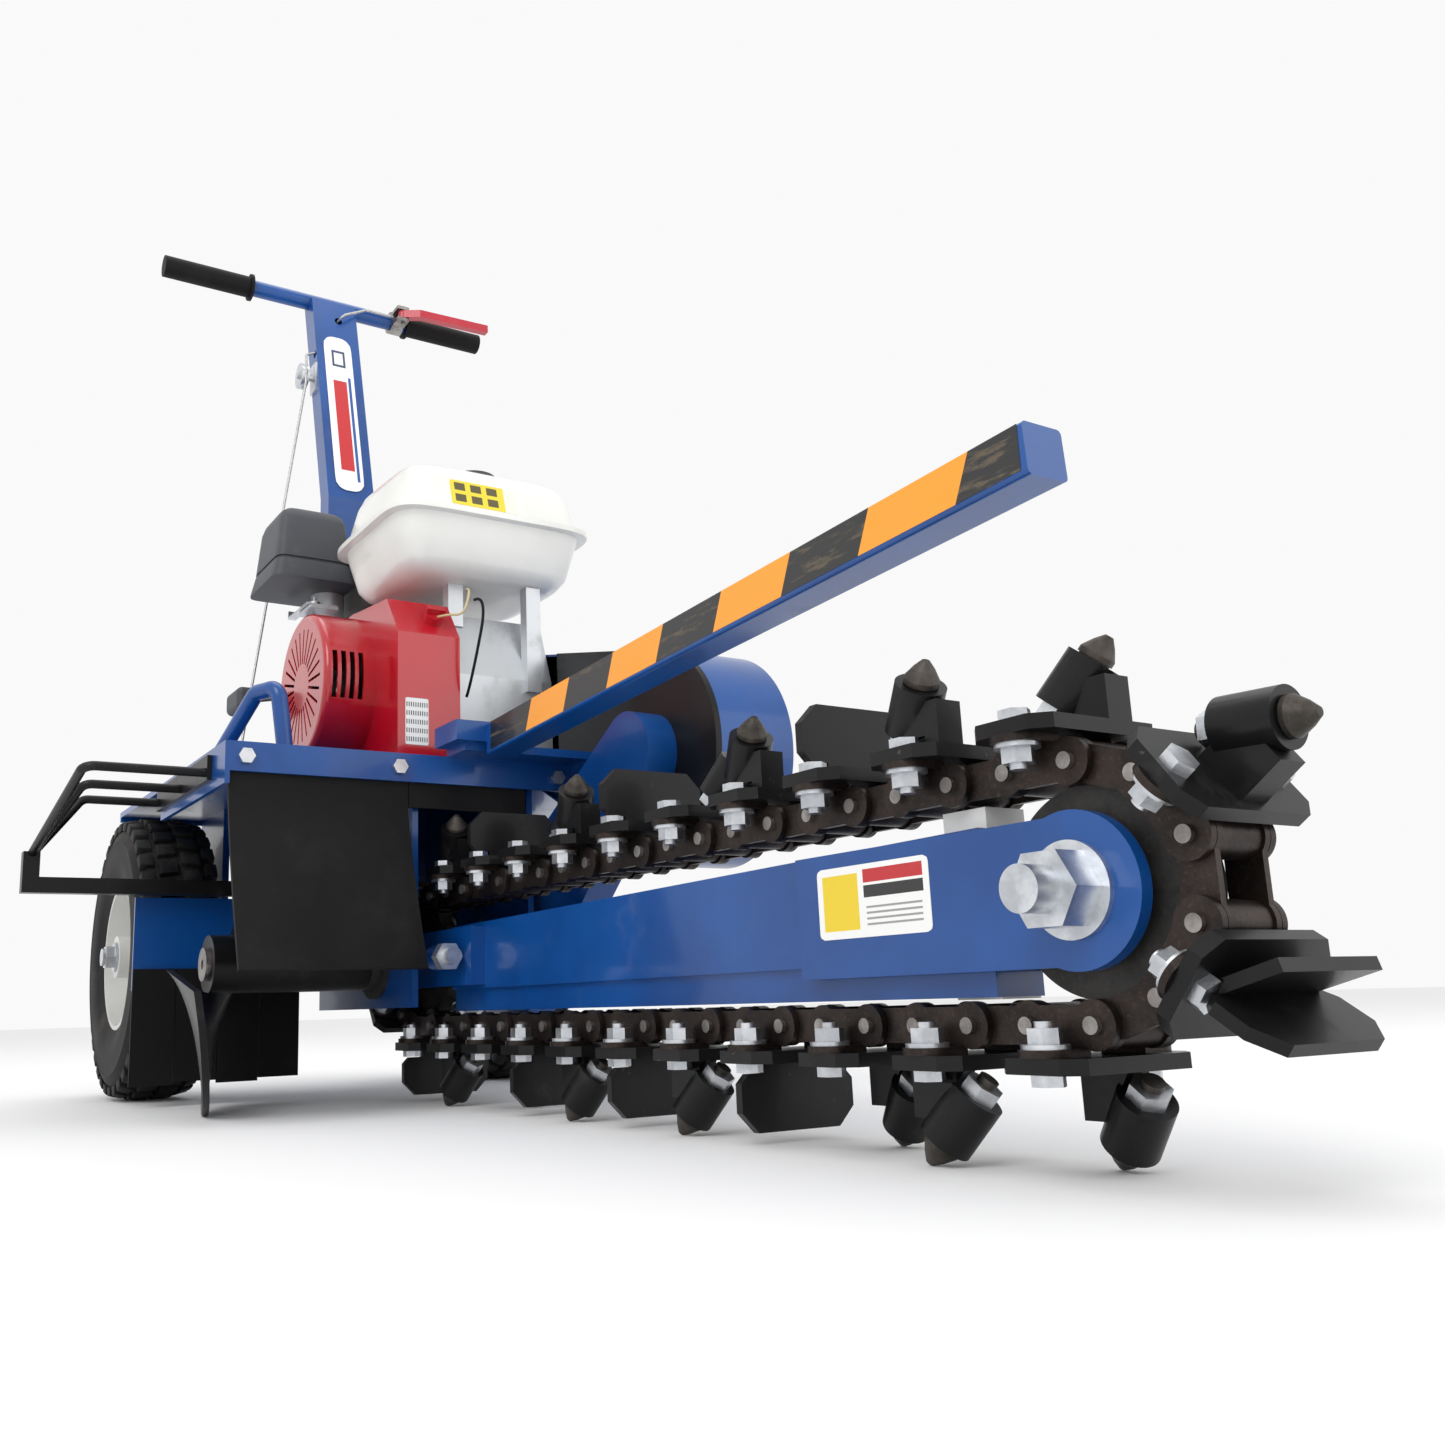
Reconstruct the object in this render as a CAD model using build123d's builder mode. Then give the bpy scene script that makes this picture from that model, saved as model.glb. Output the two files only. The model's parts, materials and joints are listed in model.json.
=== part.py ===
from build123d import *
from math import asin, atan2, cos, degrees, hypot, pi, radians, sin, sqrt, tan
import os

# Walk-behind trencher, in millimetres. While modelling, X runs from the head shaft
# to the nose of the boom, Y to the left of an operator who faces the nose, Z up from
# the ground below the head shaft. The export moves all of it to its base centre.

# ---- digging chain ----
chain_pitch = 50.8
end_teeth = 10
run_links = 21
roller_r = 14.0
pin_r = 5.6
plate_r = 15.8
plate_waist = 12.5
plate_t = 5.0
inner_half = 20.0
chain_gap = 0.6
pin_half = 34.5
tab_rise = 19.0
tab_t = 5.0
tab_half = 17.0
bolt_y = 46.0
bolt_r = 6.0
bolt_af = 19.0
bolt_head_h = 7.5
washer_r = 15.0
washer_t = 3.0
base_t = 10.0
base_half_u = 33.0
base_half_v = 60.0
base_corner = 12.0

# ---- cutters ----
tip_reach = 93.8
pick_lean = 38.0
pick_tilt = 14.0
pick_r = 11.5
pick_tip_r = 3.0
holder_r = 19.0
holder_half = 20.0
holder_w = 62.0
pick_side = 26.0
pick_nut_af = 24.0
pick_nut_h = 10.0
paddle_t = 8.0
paddle_half = 58.0
paddle_reach = 84.0
paddle_corner = 16.0
wing_angle = 52.0

# ---- boom ----
head_z = 176.0
beam_half_y = 28.0
beam_start = 112.0
beam_end = 985.0
beam_low = 138.0
beam_top_rear = 214.0
beam_top_front = 226.0
beam_wall = 6.0
rail_half_y = 23.0
rail_low = 112.0
cheek_t = 10.0
cheek_r = 50.0
cheek_start = 800.0
nose_clear = 0.3
nose_half = 17.0
nose_hub_r = 40.0
nose_pin_r = 15.0
nose_nut_af = 46.0
nose_nut_h = 24.0
nose_washer_r = 31.0
nose_washer_t = 4.0
nose_stud_out = 20.0
pad_x = (975.0, 1018.0)
pad_half_y = 19.0
fork_t = 8.0
fork_in = 38.0
fork_half_z = 40.0
fork_end = 205.0
tension_x = 158.0
tension_y = 64.0
tension_boss_r = 15.0
tension_rod_r = 10.0
tension_nut_af = 30.0
tension_len = 66.0

# ---- head, auger and wheels ----
head_shaft_r = 20.0
sprocket_root_r = 60.0
sprocket_half = 9.0
collar_r = 32.0
side_y = 76.0
side_t = 8.0
side_x = (-225.0, 118.0)
side_low = 118.0
bearing_t = 18.0
bearing_r = 46.0
auger_r = 174.0
auger_tube_r = 35.0
auger_start = 104.0
auger_tube_end = 300.0
auger_end = 352.0
auger_pitch = 250.0
auger_t = 8.0
shaft_tap_r = 6.0
tyre_r = 203.0
tyre_w = 120.0
tyre_wall = 8.0
rim_r = 104.0
rim_w = 94.0
wheel_x = -400.0
wheel_y = 282.0
axle_r = 12.5
axle_end = 352.0
hub_r = 30.0
hub_half = 50.0
drop_y = (190.0, 200.0)
drop_x = (-464.0, -330.0)
drop_low = 178.0

# ---- deck ----
deck_z = 425.0
deck_t = 8.0
deck_front = 140.0
deck_back = -470.0
deck_half = 322.0
lip_h = 35.0
back_lip_h = 15.0
lip_t = 6.0
side_lip_h = 50.0
side_lip_x = -185.0
cutout_x = -5.0
flap_t = 6.0
flap_low = 161.0
flap_in = -97.0
flap_kick = 64.0
flap_bend = 360.0
centre_flap_low = 358.0
centre_flap_end = 66.0
deck_bolt_af = 17.0
deck_bolt_h = 6.4

# ---- guards ----
guard_bar_r = 5.5
guard_tube = 20.0
guard_corner = (-175.0, -482.0, 322.0)
guard_z = 397.0
guard_bends = ((75.0, -463.0), (-50.0, -443.0), (-172.0, -424.0))
loop_r = 10.0
strip_t = 4.0
strip_x = -190.0
strip_w = 56.0
strip_count = 4

# ---- safety bar ----
bar_side = 40.0
bar_wall = 3.0
bar_rise = 2.9
bar_rear_x = 200.0
bar_tip_x = 1050.0
bar_tip_z = 481.0
bracket_t = 10.0

# ---- handle ----
post_w = 80.0
post_d = 40.0
post_x = -366.0
post_knee_z = 955.0
post_rake = 14.5
post_wall = 3.0
foot_t = 10.0
grip_bar_z = 1366.0
grip_bar_r = 14.0
grip_bar_half = 292.0
grip_r = 18.0
grip_len = 150.0
lever_len = 158.0
sheave_r = 22.0
sheave_t = 12.0
wire_r = 2.2
sheave_z = 1196.0
sheave_pin_r = 6.0
wire_hole_r = 7.0
wire_hole_y = 6.0
wire_hole_z = 1325.0
wire_exit_z = 1244.0
lever_pin_r = 4.0

# ---- engine ----
crank_x = -96.0
crank_h = 132.0
recoil_y = -160.0
fan_y = -88.0
block_y = 2.0
pto_y = 148.0
block_x = (-190.0, 62.0)
foot_bolt_x = (-201.0, 75.0)
pto_end = 236.0
crank_r = 12.5
tank_x = (-158.0, 116.0)
tank_y = (-104.0, 202.0)
tank_rim_z = 770.0
tank_low_z = 690.0
tank_top_z = 862.0
tank_rim_out = 9.0
tank_rim_t = 7.0
head_x = -318.0
cover_r = 112.0
cover_x = 80.0
cover_wall = 3.0
recoil_r = 102.0
grille_r = 80.0
grille_slots = 26
flywheel_r = 94.0
bracket_at = ((30.0, 13.0, 630.0), (60.0, 118.0, 540.0))
tank_wall = 3.0
cap_r = 32.0
cap_at = (-20.0, 70.0)
muffler_x = (-312.0, -170.0)
muffler_y = (-36.0, 150.0)
muffler_z = (716.0, 846.0)
switch_at = (62.0, -30.0, 641.0)
knob_r = 15.0
lever_t = 3.0
carb_at = (-255.0, -70.0)
carb_z = 668.0
throttle_at = (-215.0, -104.0, 716.0)
choke_z = 700.0
grip_at = (-268.0, -196.0, 569.0)
rope_r = 2.5
rope_gap = 1.5
cleaner_x = (-322.0, -178.0)
cleaner_y = (-176.0, -48.0)
cleaner_z = (745.0, 862.0)

# ---- drive ----
jack_x = 323.0
jack_z = 405.0
guard_y = (150.0, 252.0)
guard_small_r = 76.0
guard_big_r = 131.0
guard_wall = 3.0
small_pulley_r = 46.0
big_pulley_r = 112.0
pulley_y = (178.0, 222.0)
belt_t = 9.0
jack_r = 15.0
case_y = (102.0, 142.0)
case_big_r = 92.0
case_small_r = 52.0
case_wall = 4.0
final_sprocket_r = 74.0
jack_sprocket_r = 34.0
fit_gap = 0.05
clear = 0.4

# ---- worked out ----
step_angle = 360 / end_teeth
pin_circle = chain_pitch / (2 * sin(pi / end_teeth))
boom_length = run_links * chain_pitch
crank_z = deck_z + crank_h
bar_rise_len = (bar_tip_x - bar_rear_x) / cos(radians(bar_rise))
total_pins = 2 * run_links + end_teeth

pieces = []


def keep(piece, label):
    """Name a finished piece and hold it for export."""
    piece.part.label = label
    pieces.append(piece)


def block(x, y, z, mode=Mode.ADD):
    """A box between pairs of coordinates, added to the part being built."""
    middle = ((x[0] + x[1]) / 2, (y[0] + y[1]) / 2, (z[0] + z[1]) / 2)
    with Locations(middle):
        Box(x[1] - x[0], y[1] - y[0], z[1] - z[0], mode=mode)


def rod_y(x, z, y, r, mode=Mode.ADD):
    """A round bar along Y between two Y values."""
    with Locations(Location((x, (y[0] + y[1]) / 2, z), (90, 0, 0))):
        Cylinder(r, y[1] - y[0], mode=mode)


def rod_x(y, z, x, r, mode=Mode.ADD):
    """A round bar along X between two X values."""
    with Locations(Location(((x[0] + x[1]) / 2, y, z), (0, 90, 0))):
        Cylinder(r, x[1] - x[0], mode=mode)


def rod_z(x, y, z, r, mode=Mode.ADD):
    """A round bar along Z between two Z values."""
    with Locations((x, y, (z[0] + z[1]) / 2)):
        Cylinder(r, z[1] - z[0], mode=mode)


def hexagon(across, height):
    """A hexagonal nut or head blank standing on the XY plane."""
    with BuildPart() as blank:
        with BuildSketch():
            RegularPolygon(across / 2, 6, major_radius=False)
        extrude(amount=height)
    return blank.part


def swept_bar(points, r, bend_r):
    """A round bar along straight runs joined by arcs."""
    with BuildPart() as bar:
        with BuildLine() as path:
            FilletPolyline(*points, radius=bend_r)
        with BuildSketch(path.line ^ 0):
            Circle(r)
        sweep()
    return bar.part


def y_plane(y):
    """A sketch plane facing -Y at a given Y, whose axes are X and Z."""
    return Plane(origin=(0, y, 0), x_dir=(1, 0, 0), z_dir=(0, -1, 0))


def pin_point(index):
    """Where a chain pin lies, as X and Z. Pin 0 is above the head shaft."""
    index = index % total_pins
    if index <= run_links:
        return index * chain_pitch, head_z + pin_circle
    if index <= run_links + end_teeth / 2:
        angle = radians(90 - (index - run_links) * step_angle)
        return boom_length + pin_circle * cos(angle), head_z + pin_circle * sin(angle)
    if index <= 2 * run_links + end_teeth / 2:
        back = index - run_links - end_teeth / 2
        return boom_length - back * chain_pitch, head_z - pin_circle
    angle = radians(-90 - (index - 2 * run_links - end_teeth / 2) * step_angle)
    return pin_circle * cos(angle), head_z + pin_circle * sin(angle)


def link_frame(index):
    """The frame of a link: X along its travel, Y across, Z away from the boom."""
    x0, z0 = pin_point(index)
    x1, z1 = pin_point(index + 1)
    travel = Vector(x1 - x0, 0, z1 - z0).normalized()
    outward = Vector(-travel.Z, 0, travel.X)
    middle = ((x0 + x1) / 2, 0, (z0 + z1) / 2)
    return Location(Plane(origin=middle, x_dir=travel, z_dir=outward))


outer_links = range(0, total_pins, 2)
inner_links = range(1, total_pins, 2)
pick_right = (2, 8, 14, 18, 28, 34, 38, 44, 50)
pick_left = (6, 12, 20, 26, 30, 42, 48)
pick_middle = (22,)
paddle_links = (4, 10, 16, 32, 36, 40, 46)
wing_link = 24


def frames_of(links):
    """The frames of several links."""
    return [link_frame(k) for k in links]


pin_frames = [Location((pin_point(k)[0], 0, pin_point(k)[1]), (90, 0, 0)) for k in range(total_pins)]


# ======== digging chain ========

def roller():
    """One roller, bored for its pin."""
    with BuildPart() as ring:
        with BuildSketch():
            Circle(roller_r)
            Circle(pin_r + fit_gap, mode=Mode.SUBTRACT)
        extrude(amount=inner_half - chain_gap, both=True)
    return ring.part


def link_plate(y0, thickness):
    """One waisted side plate of a link, in the link's own frame."""
    reach = chain_pitch / 2
    with BuildPart() as plate:
        with BuildSketch(y_plane(y0)):
            with Locations((-reach, 0), (reach, 0)):
                Circle(plate_r)
            Rectangle(chain_pitch, 2 * plate_waist)
            with Locations((-reach, 0), (reach, 0)):
                Circle(pin_r, mode=Mode.SUBTRACT)
        extrude(amount=-thickness)
    return plate.part


def tab(side):
    """The bent tab of an outer link, with its bolt hole."""
    inner = inner_half + plate_t + chain_gap
    with BuildPart() as ear:
        block((-tab_half, tab_half), sorted((side * inner, side * (inner + plate_t))),
              (plate_waist - 1, tab_rise))
        with BuildSketch(Plane.XY.offset(tab_rise - tab_t)):
            with Locations((0, side * (inner + bolt_y) / 2)):
                Rectangle(2 * tab_half, bolt_y - inner)
            with Locations((0, side * bolt_y)):
                Circle(tab_half)
            with Locations((0, side * bolt_y)):
                Circle(bolt_r + clear, mode=Mode.SUBTRACT)
        extrude(amount=tab_t)
    return ear.part


def outer_pair():
    """Both side plates of an outer link, each with its tab."""
    near = inner_half + plate_t + chain_gap
    with BuildPart() as pair:
        for side in (-1, 1):
            start = near if side > 0 else -near - plate_t
            add(link_plate(start, plate_t))
            add(tab(side))
    return pair.part


with BuildPart() as chain_outer_links:
    with Locations(*frames_of(outer_links)):
        add(outer_pair())
keep(chain_outer_links, "chain_outer_links")

with BuildPart() as chain_inner_links:
    with Locations(*frames_of(inner_links)):
        add(link_plate(-inner_half - plate_t, plate_t))
        add(link_plate(inner_half, plate_t))
keep(chain_inner_links, "chain_inner_links")

with BuildPart() as chain_rollers:
    with Locations(*pin_frames):
        add(roller())
keep(chain_rollers, "chain_rollers")

with BuildPart() as chain_pins:
    with Locations(*pin_frames):
        Cylinder(pin_r, 2 * pin_half)
keep(chain_pins, "chain_pins")


# ======== cutters ========
base_low = tab_rise
base_top = base_low + base_t


def base_plate():
    """The plate that a cutter is welded to, bolted across two tabs."""
    with BuildPart() as plate:
        with BuildSketch(Plane.XY.offset(base_low)) as outline:
            Rectangle(2 * base_half_u, 2 * base_half_v)
            chamfer(outline.vertices(), base_corner)
            with Locations((0, -bolt_y), (0, bolt_y)):
                Circle(bolt_r + clear, mode=Mode.SUBTRACT)
        extrude(amount=base_t)
    return plate.part


def clear_bolts():
    """Cut room for the two bolt heads of a cutter's base plate."""
    reach = bolt_af / 2 + 3
    for side in (-1, 1):
        span = sorted((side * (bolt_y - reach), side * (base_half_v + 1)))
        block((-reach, reach), span, (base_top, base_top + bolt_head_h + 1), Mode.SUBTRACT)


def pick_axis(side):
    """A pick's own frame, its Z towards the tip, in a link's frame."""
    lean = radians(pick_lean)
    tilt = radians(side * pick_tilt)
    aim = Vector(sin(lean) * cos(tilt), sin(tilt), cos(lean) * cos(tilt))
    return Plane(origin=(-6, side * pick_side, holder_w), z_dir=aim)


def pick_reach(side):
    """The distance from the holder's middle to a tip that just digs full depth."""
    upright = pick_axis(side).z_dir.Z
    return (tip_reach - holder_w - pick_tip_r * sqrt(1 - upright ** 2)) / upright


def holder(side):
    """The tube that holds a pick, and the web that carries it on the base plate."""
    aim = pick_axis(side)
    with BuildPart() as body:
        with BuildSketch(aim.offset(-holder_half)):
            Circle(holder_r)
        extrude(amount=2 * holder_half)
        web_half = holder_r * 0.62
        foot = side * pick_side
        block((-12, 26), (foot - web_half, foot + web_half), (base_top, holder_w))
        with BuildSketch(aim.offset(-holder_half)):
            Circle(pick_r + fit_gap)
        extrude(amount=2 * holder_half, mode=Mode.SUBTRACT)
        with BuildSketch(aim.offset(-holder_half)):
            Circle(pick_nut_af / 2 + 4)
        extrude(amount=-3 * holder_half, mode=Mode.SUBTRACT)
        with BuildSketch(aim.offset(holder_half)):
            Circle(pick_r + 4)
        extrude(amount=3 * holder_half, mode=Mode.SUBTRACT)
        block((-90, 90), (-90, 90), (-20, base_top), Mode.SUBTRACT)
        clear_bolts()
    return body.part


def pick(side):
    """A round pick: shank, tapered body and hard tip."""
    aim = pick_axis(side)
    reach = pick_reach(side)
    shoulder = holder_half + 1
    with BuildPart() as body:
        with BuildSketch(Plane.XZ):
            with BuildLine():
                Polyline((0, -holder_half - 15), (7, -holder_half - 15), (7, -holder_half),
                         (pick_r, -holder_half), (pick_r, shoulder), (pick_r + 1.5, shoulder),
                         (pick_r + 1.5, reach - 14), (pick_r - 3.5, reach - 6),
                         (pick_tip_r, reach), (0, reach), close=True)
            make_face()
        revolve(axis=Axis.Z)
    return body.part.moved(Location(aim))


def pick_nut(side):
    """The nut on a pick's shank behind its holder."""
    aim = pick_axis(side)
    with BuildPart() as nut:
        add(hexagon(pick_nut_af, pick_nut_h))
        rod_z(0, 0, (-1, pick_nut_h + 1), 7, Mode.SUBTRACT)
    return nut.part.moved(Location(aim.offset(-holder_half - pick_nut_h)))


def paddle():
    """A flat spoil paddle with cut corners, square to the travel."""
    with BuildPart() as blade:
        with BuildSketch(Plane.YZ.offset(-paddle_t / 2)) as outline:
            with Locations((0, (base_top + paddle_reach) / 2)):
                Rectangle(2 * paddle_half, paddle_reach - base_top)
            chamfer(outline.vertices().group_by(Axis.Z)[-1], paddle_corner)
        extrude(amount=paddle_t)
        clear_bolts()
    return blade.part


def wing():
    """The second plate of the nose blade, leaning back from the paddle's root."""
    lean = Plane(origin=(-paddle_t / 2, 0, base_top), x_dir=(0, 1, 0),
                 z_dir=(cos(radians(wing_angle)), 0, sin(radians(wing_angle))))
    with BuildPart() as blade:
        with BuildSketch(lean):
            with Locations((0, -2)):
                Rectangle(1.6 * paddle_half, 96)
        extrude(amount=paddle_t)
        block((-200, -paddle_t / 2), (-90, 90), (base_top, 200), Mode.INTERSECT)
        clear_bolts()
    return blade.part


cutter_links = (*pick_right, *pick_left, *pick_middle, *paddle_links, wing_link)
pick_sides = ((pick_right, -1), (pick_left, 1), (pick_middle, 0))

with BuildPart() as cutter_bases:
    with Locations(*frames_of(cutter_links)):
        add(base_plate())
keep(cutter_bases, "cutter_base_plates")

with BuildPart() as pick_holders:
    for links, side in pick_sides:
        with Locations(*frames_of(links)):
            add(holder(side))
keep(pick_holders, "pick_holders")

with BuildPart() as picks:
    for links, side in pick_sides:
        with Locations(*frames_of(links)):
            add(pick(side))
keep(picks, "picks")

with BuildPart() as paddles:
    with Locations(*frames_of((*paddle_links, wing_link))):
        add(paddle())
    with Locations(link_frame(wing_link)):
        add(wing())
keep(paddles, "paddles")


def chain_bolt(side, grip):
    """A bolt through a tab, its washer and nut under the tab."""
    with BuildPart() as bolt:
        rod_z(0, side * bolt_y, (tab_rise - tab_t - washer_t - 14, grip), bolt_r)
        with Locations((0, side * bolt_y, grip)):
            add(hexagon(bolt_af, bolt_head_h))
        rod_z(0, side * bolt_y, (tab_rise - tab_t - washer_t, tab_rise - tab_t), washer_r)
        with Locations((0, side * bolt_y, tab_rise - tab_t - washer_t - 10)):
            add(hexagon(bolt_af, 10))
    return bolt.part


bare_links = [k for k in outer_links if k not in cutter_links]

with BuildPart() as cutter_fasteners:
    for links, grip in ((cutter_links, base_top), (bare_links, tab_rise)):
        for side in (-1, 1):
            with Locations(*frames_of(links)):
                add(chain_bolt(side, grip))
    for links, side in pick_sides:
        with Locations(*frames_of(links)):
            add(pick_nut(side))
keep(cutter_fasteners, "cutter_fasteners")


# ======== boom ========
nose_r = pin_circle - roller_r - nose_clear
cheek_y = beam_half_y + cheek_t

with BuildPart() as boom_beam:
    with BuildSketch(y_plane(-beam_half_y)):
        Polygon((beam_start, beam_low), (beam_end, beam_low), (beam_end, beam_top_front),
                (beam_start, beam_top_rear), align=None)
    extrude(amount=-2 * beam_half_y)
    inner = beam_half_y - beam_wall
    block((beam_start - 1, beam_end + 1), (-inner, inner), (beam_low + beam_wall, beam_top_rear - beam_wall),
          Mode.SUBTRACT)
    block((beam_start, beam_end), (-rail_half_y, rail_half_y), (rail_low, beam_low))
    for side in (-1, 1):
        spacer = sorted((side * beam_half_y, side * fork_in))
        block((beam_start + 8, fork_end), spacer, (head_z - fork_half_z + 6, head_z + fork_half_z - 6))
        with BuildSketch(y_plane(-beam_half_y if side < 0 else cheek_y)):
            with Locations((boom_length, head_z)):
                Circle(cheek_r)
            with Locations(((cheek_start + boom_length) / 2, head_z)):
                Rectangle(boom_length - cheek_start, 2 * cheek_r - 6)
        extrude(amount=cheek_t)
    rod_y(boom_length, head_z, (-cheek_y - 1, cheek_y + 1), nose_pin_r, Mode.SUBTRACT)
keep(boom_beam, "boom_beam")

with BuildPart() as boom_fork:
    for side in (-1, 1):
        span = sorted((side * fork_in, side * (fork_in + fork_t)))
        rod_y(0, head_z, span, fork_half_z)
        block((0, fork_end), span, (head_z - fork_half_z + 6, head_z + fork_half_z - 6))
    boss_x = (tension_x - 14, tension_x + 12)
    rod_x(-tension_y, head_z, boss_x, tension_boss_r)
    block(boss_x, (-tension_y, -fork_in - fork_t), (head_z - 9, head_z + 9))
    rod_y(0, head_z, (-fork_in - fork_t - 1, fork_in + fork_t + 1), head_shaft_r + fit_gap, Mode.SUBTRACT)
    rod_x(-tension_y, head_z, (boss_x[0] - 1, boss_x[1] + 1), tension_rod_r, Mode.SUBTRACT)
keep(boom_fork, "boom_fork")

with BuildPart() as nose_roller:
    rod_y(boom_length, head_z, (-nose_half, nose_half), nose_r)
    rod_y(boom_length, head_z, (-beam_half_y + clear, beam_half_y - clear), nose_hub_r)
    rod_y(boom_length, head_z, (-beam_half_y, beam_half_y), nose_pin_r + fit_gap, Mode.SUBTRACT)
keep(nose_roller, "nose_roller")


def nut_along_y(x, z, y, side, across, height, bore):
    """A nut whose axis is Y, from a Y value outwards."""
    with BuildPart() as nut:
        add(hexagon(across, height))
        rod_z(0, 0, (-1, height + 1), bore, Mode.SUBTRACT)
    return nut.part.moved(Location((x, y, z), (-90 * side, 0, 0)))


def axle_hardware(x, z, seat, washer, nut, bore):
    """A washer and a nut on each end of an axle that lies along Y."""
    parts = []
    for side in (-1, 1):
        with BuildPart() as disc:
            rod_y(x, z, sorted((side * seat, side * (seat + washer[1]))), washer[0])
            rod_y(x, z, sorted((side * (seat - 1), side * (seat + washer[1] + 1))), bore, Mode.SUBTRACT)
        parts.append(disc.part)
        parts.append(nut_along_y(x, z, side * (seat + washer[1]), side, nut[0], nut[1], bore))
    return parts


with BuildPart() as nose_axle:
    stud = cheek_y + nose_washer_t + nose_nut_h + nose_stud_out
    rod_y(boom_length, head_z, (-stud, stud), nose_pin_r)
    add(axle_hardware(boom_length, head_z, cheek_y, (nose_washer_r, nose_washer_t), (nose_nut_af, nose_nut_h),
                      nose_pin_r))
keep(nose_axle, "nose_axle")

with BuildPart() as wear_pads:
    upper = head_z + pin_circle - plate_r - 1.5
    lower = head_z - pin_circle + plate_r + 1.0
    block((beam_end - 40, beam_end), (-pad_half_y, pad_half_y), (beam_top_front, upper))
    block((beam_end - 40, beam_end), (-pad_half_y, pad_half_y), (lower, rail_low))
keep(wear_pads, "wear_pads")

with BuildPart() as tensioner_screw:
    rod_x(-tension_y, head_z, (tension_x - 26, tension_x - 26 + tension_len), tension_rod_r)
    nut_face = Plane(origin=(tension_x + 12, -tension_y, head_z), x_dir=(0, 1, 0), z_dir=(1, 0, 0))
    with BuildSketch(nut_face):
        RegularPolygon(tension_nut_af / 2, 6, major_radius=False)
    extrude(amount=14)
keep(tensioner_screw, "tensioner_screw")


# ======== head shaft, drive sprocket and auger ========
shaft_end = -(auger_tube_end + 6)
case_in, case_out = case_y


def toothed_disc(x, z, y, tip_r, teeth, notch_r):
    """A sprocket disc along Y with round gaps cut between its teeth."""
    with BuildPart() as disc:
        rod_y(x, z, y, tip_r)
        for k in range(teeth):
            angle = 2 * pi * k / teeth
            rod_y(x + tip_r * cos(angle), z + tip_r * sin(angle), (y[0] - 1, y[1] + 1), notch_r, Mode.SUBTRACT)
    return disc.part


final_y = ((case_in + case_out) / 2 - 5, (case_in + case_out) / 2 + 5)

with BuildPart() as head_shaft:
    rod_y(0, head_z, (shaft_end, case_out - case_wall - 1), head_shaft_r)
    add(toothed_disc(0, head_z, final_y, final_sprocket_r, 22, 5))
    rod_y(0, head_z, (shaft_end - 1, shaft_end + 30), shaft_tap_r, Mode.SUBTRACT)
keep(head_shaft, "head_shaft")

with BuildPart() as drive_sprocket:
    tooth_tip = pin_circle - roller_r - nose_clear
    rod_y(0, head_z, (-sprocket_half, sprocket_half), tooth_tip)
    rod_y(0, head_z, (-fork_in + clear, fork_in - clear), collar_r)
    for k in range(end_teeth):
        angle = radians(90 - k * step_angle)
        rod_y(pin_circle * cos(angle), head_z + pin_circle * sin(angle), (-sprocket_half - 1, sprocket_half + 1),
              pin_circle - sprocket_root_r, Mode.SUBTRACT)
    rod_y(0, head_z, (-fork_in, fork_in), head_shaft_r, Mode.SUBTRACT)
keep(drive_sprocket, "drive_sprocket")

with BuildPart() as head_bearings:
    for side in (-1, 1):
        start = side * (side_y + side_t)
        rod_y(0, head_z, sorted((start, start + side * bearing_t * 0.4)), bearing_r)
        rod_y(0, head_z, sorted((start, start + side * bearing_t)), bearing_r * 0.72)
    rod_y(0, head_z, (-bearing_r - side_y, bearing_r + side_y), head_shaft_r + fit_gap, Mode.SUBTRACT)
keep(head_bearings, "head_bearings")


def auger_blade():
    """The auger's helical flight, about its own Z axis."""
    height = auger_end - auger_start - 6
    with BuildPart() as blade:
        with BuildLine() as spine:
            Helix(auger_pitch, height, (auger_r + auger_tube_r) / 2)
        with BuildSketch(Plane(origin=spine.line @ 0, x_dir=(1, 0, 0), z_dir=(0, 1, 0))):
            Rectangle(auger_r - auger_tube_r + 2, auger_t)
        sweep(path=spine.line, is_frenet=True, binormal=Edge.make_line((0, 0, 0), (0, 0, height)))
    return blade.part


with BuildPart() as auger:
    add(auger_blade().moved(Location((0, -auger_start - 6, head_z), (90, 0, 0))))
    rod_y(0, head_z, (-auger_tube_end, -auger_start), auger_tube_r)
    rod_y(0, head_z, (-auger_tube_end - 1, -auger_start + 1), head_shaft_r, Mode.SUBTRACT)
keep(auger, "auger")


# ======== running gear ========

with BuildPart() as axle:
    rod_y(wheel_x, tyre_r, (-axle_end, axle_end), axle_r)
    add(axle_hardware(wheel_x, tyre_r, wheel_y + hub_half + clear, (21, 3), (30, 12), axle_r))
keep(axle, "axle")


def wheel_rim(y):
    """A pressed rim with a hub, a dished disc and four holes."""
    with BuildPart() as rim:
        rod_y(wheel_x, tyre_r, (y - rim_w / 2, y + rim_w / 2), rim_r)
        rod_y(wheel_x, tyre_r, (y - rim_w / 2 - 1, y + rim_w / 2 + 1), rim_r - 6, Mode.SUBTRACT)
        rod_y(wheel_x, tyre_r, (y - 4, y + 4), rim_r - 5)
        rod_y(wheel_x, tyre_r, (y - hub_half, y + hub_half), hub_r)
        rod_y(wheel_x, tyre_r, (y - hub_half - 1, y + hub_half + 1), axle_r + fit_gap, Mode.SUBTRACT)
        for k in range(4):
            x = wheel_x + 66 * cos(k * pi / 2)
            z = tyre_r + 66 * sin(k * pi / 2)
            rod_y(x, z, (y - 10, y + 10), 17, Mode.SUBTRACT)
    return rim


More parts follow.
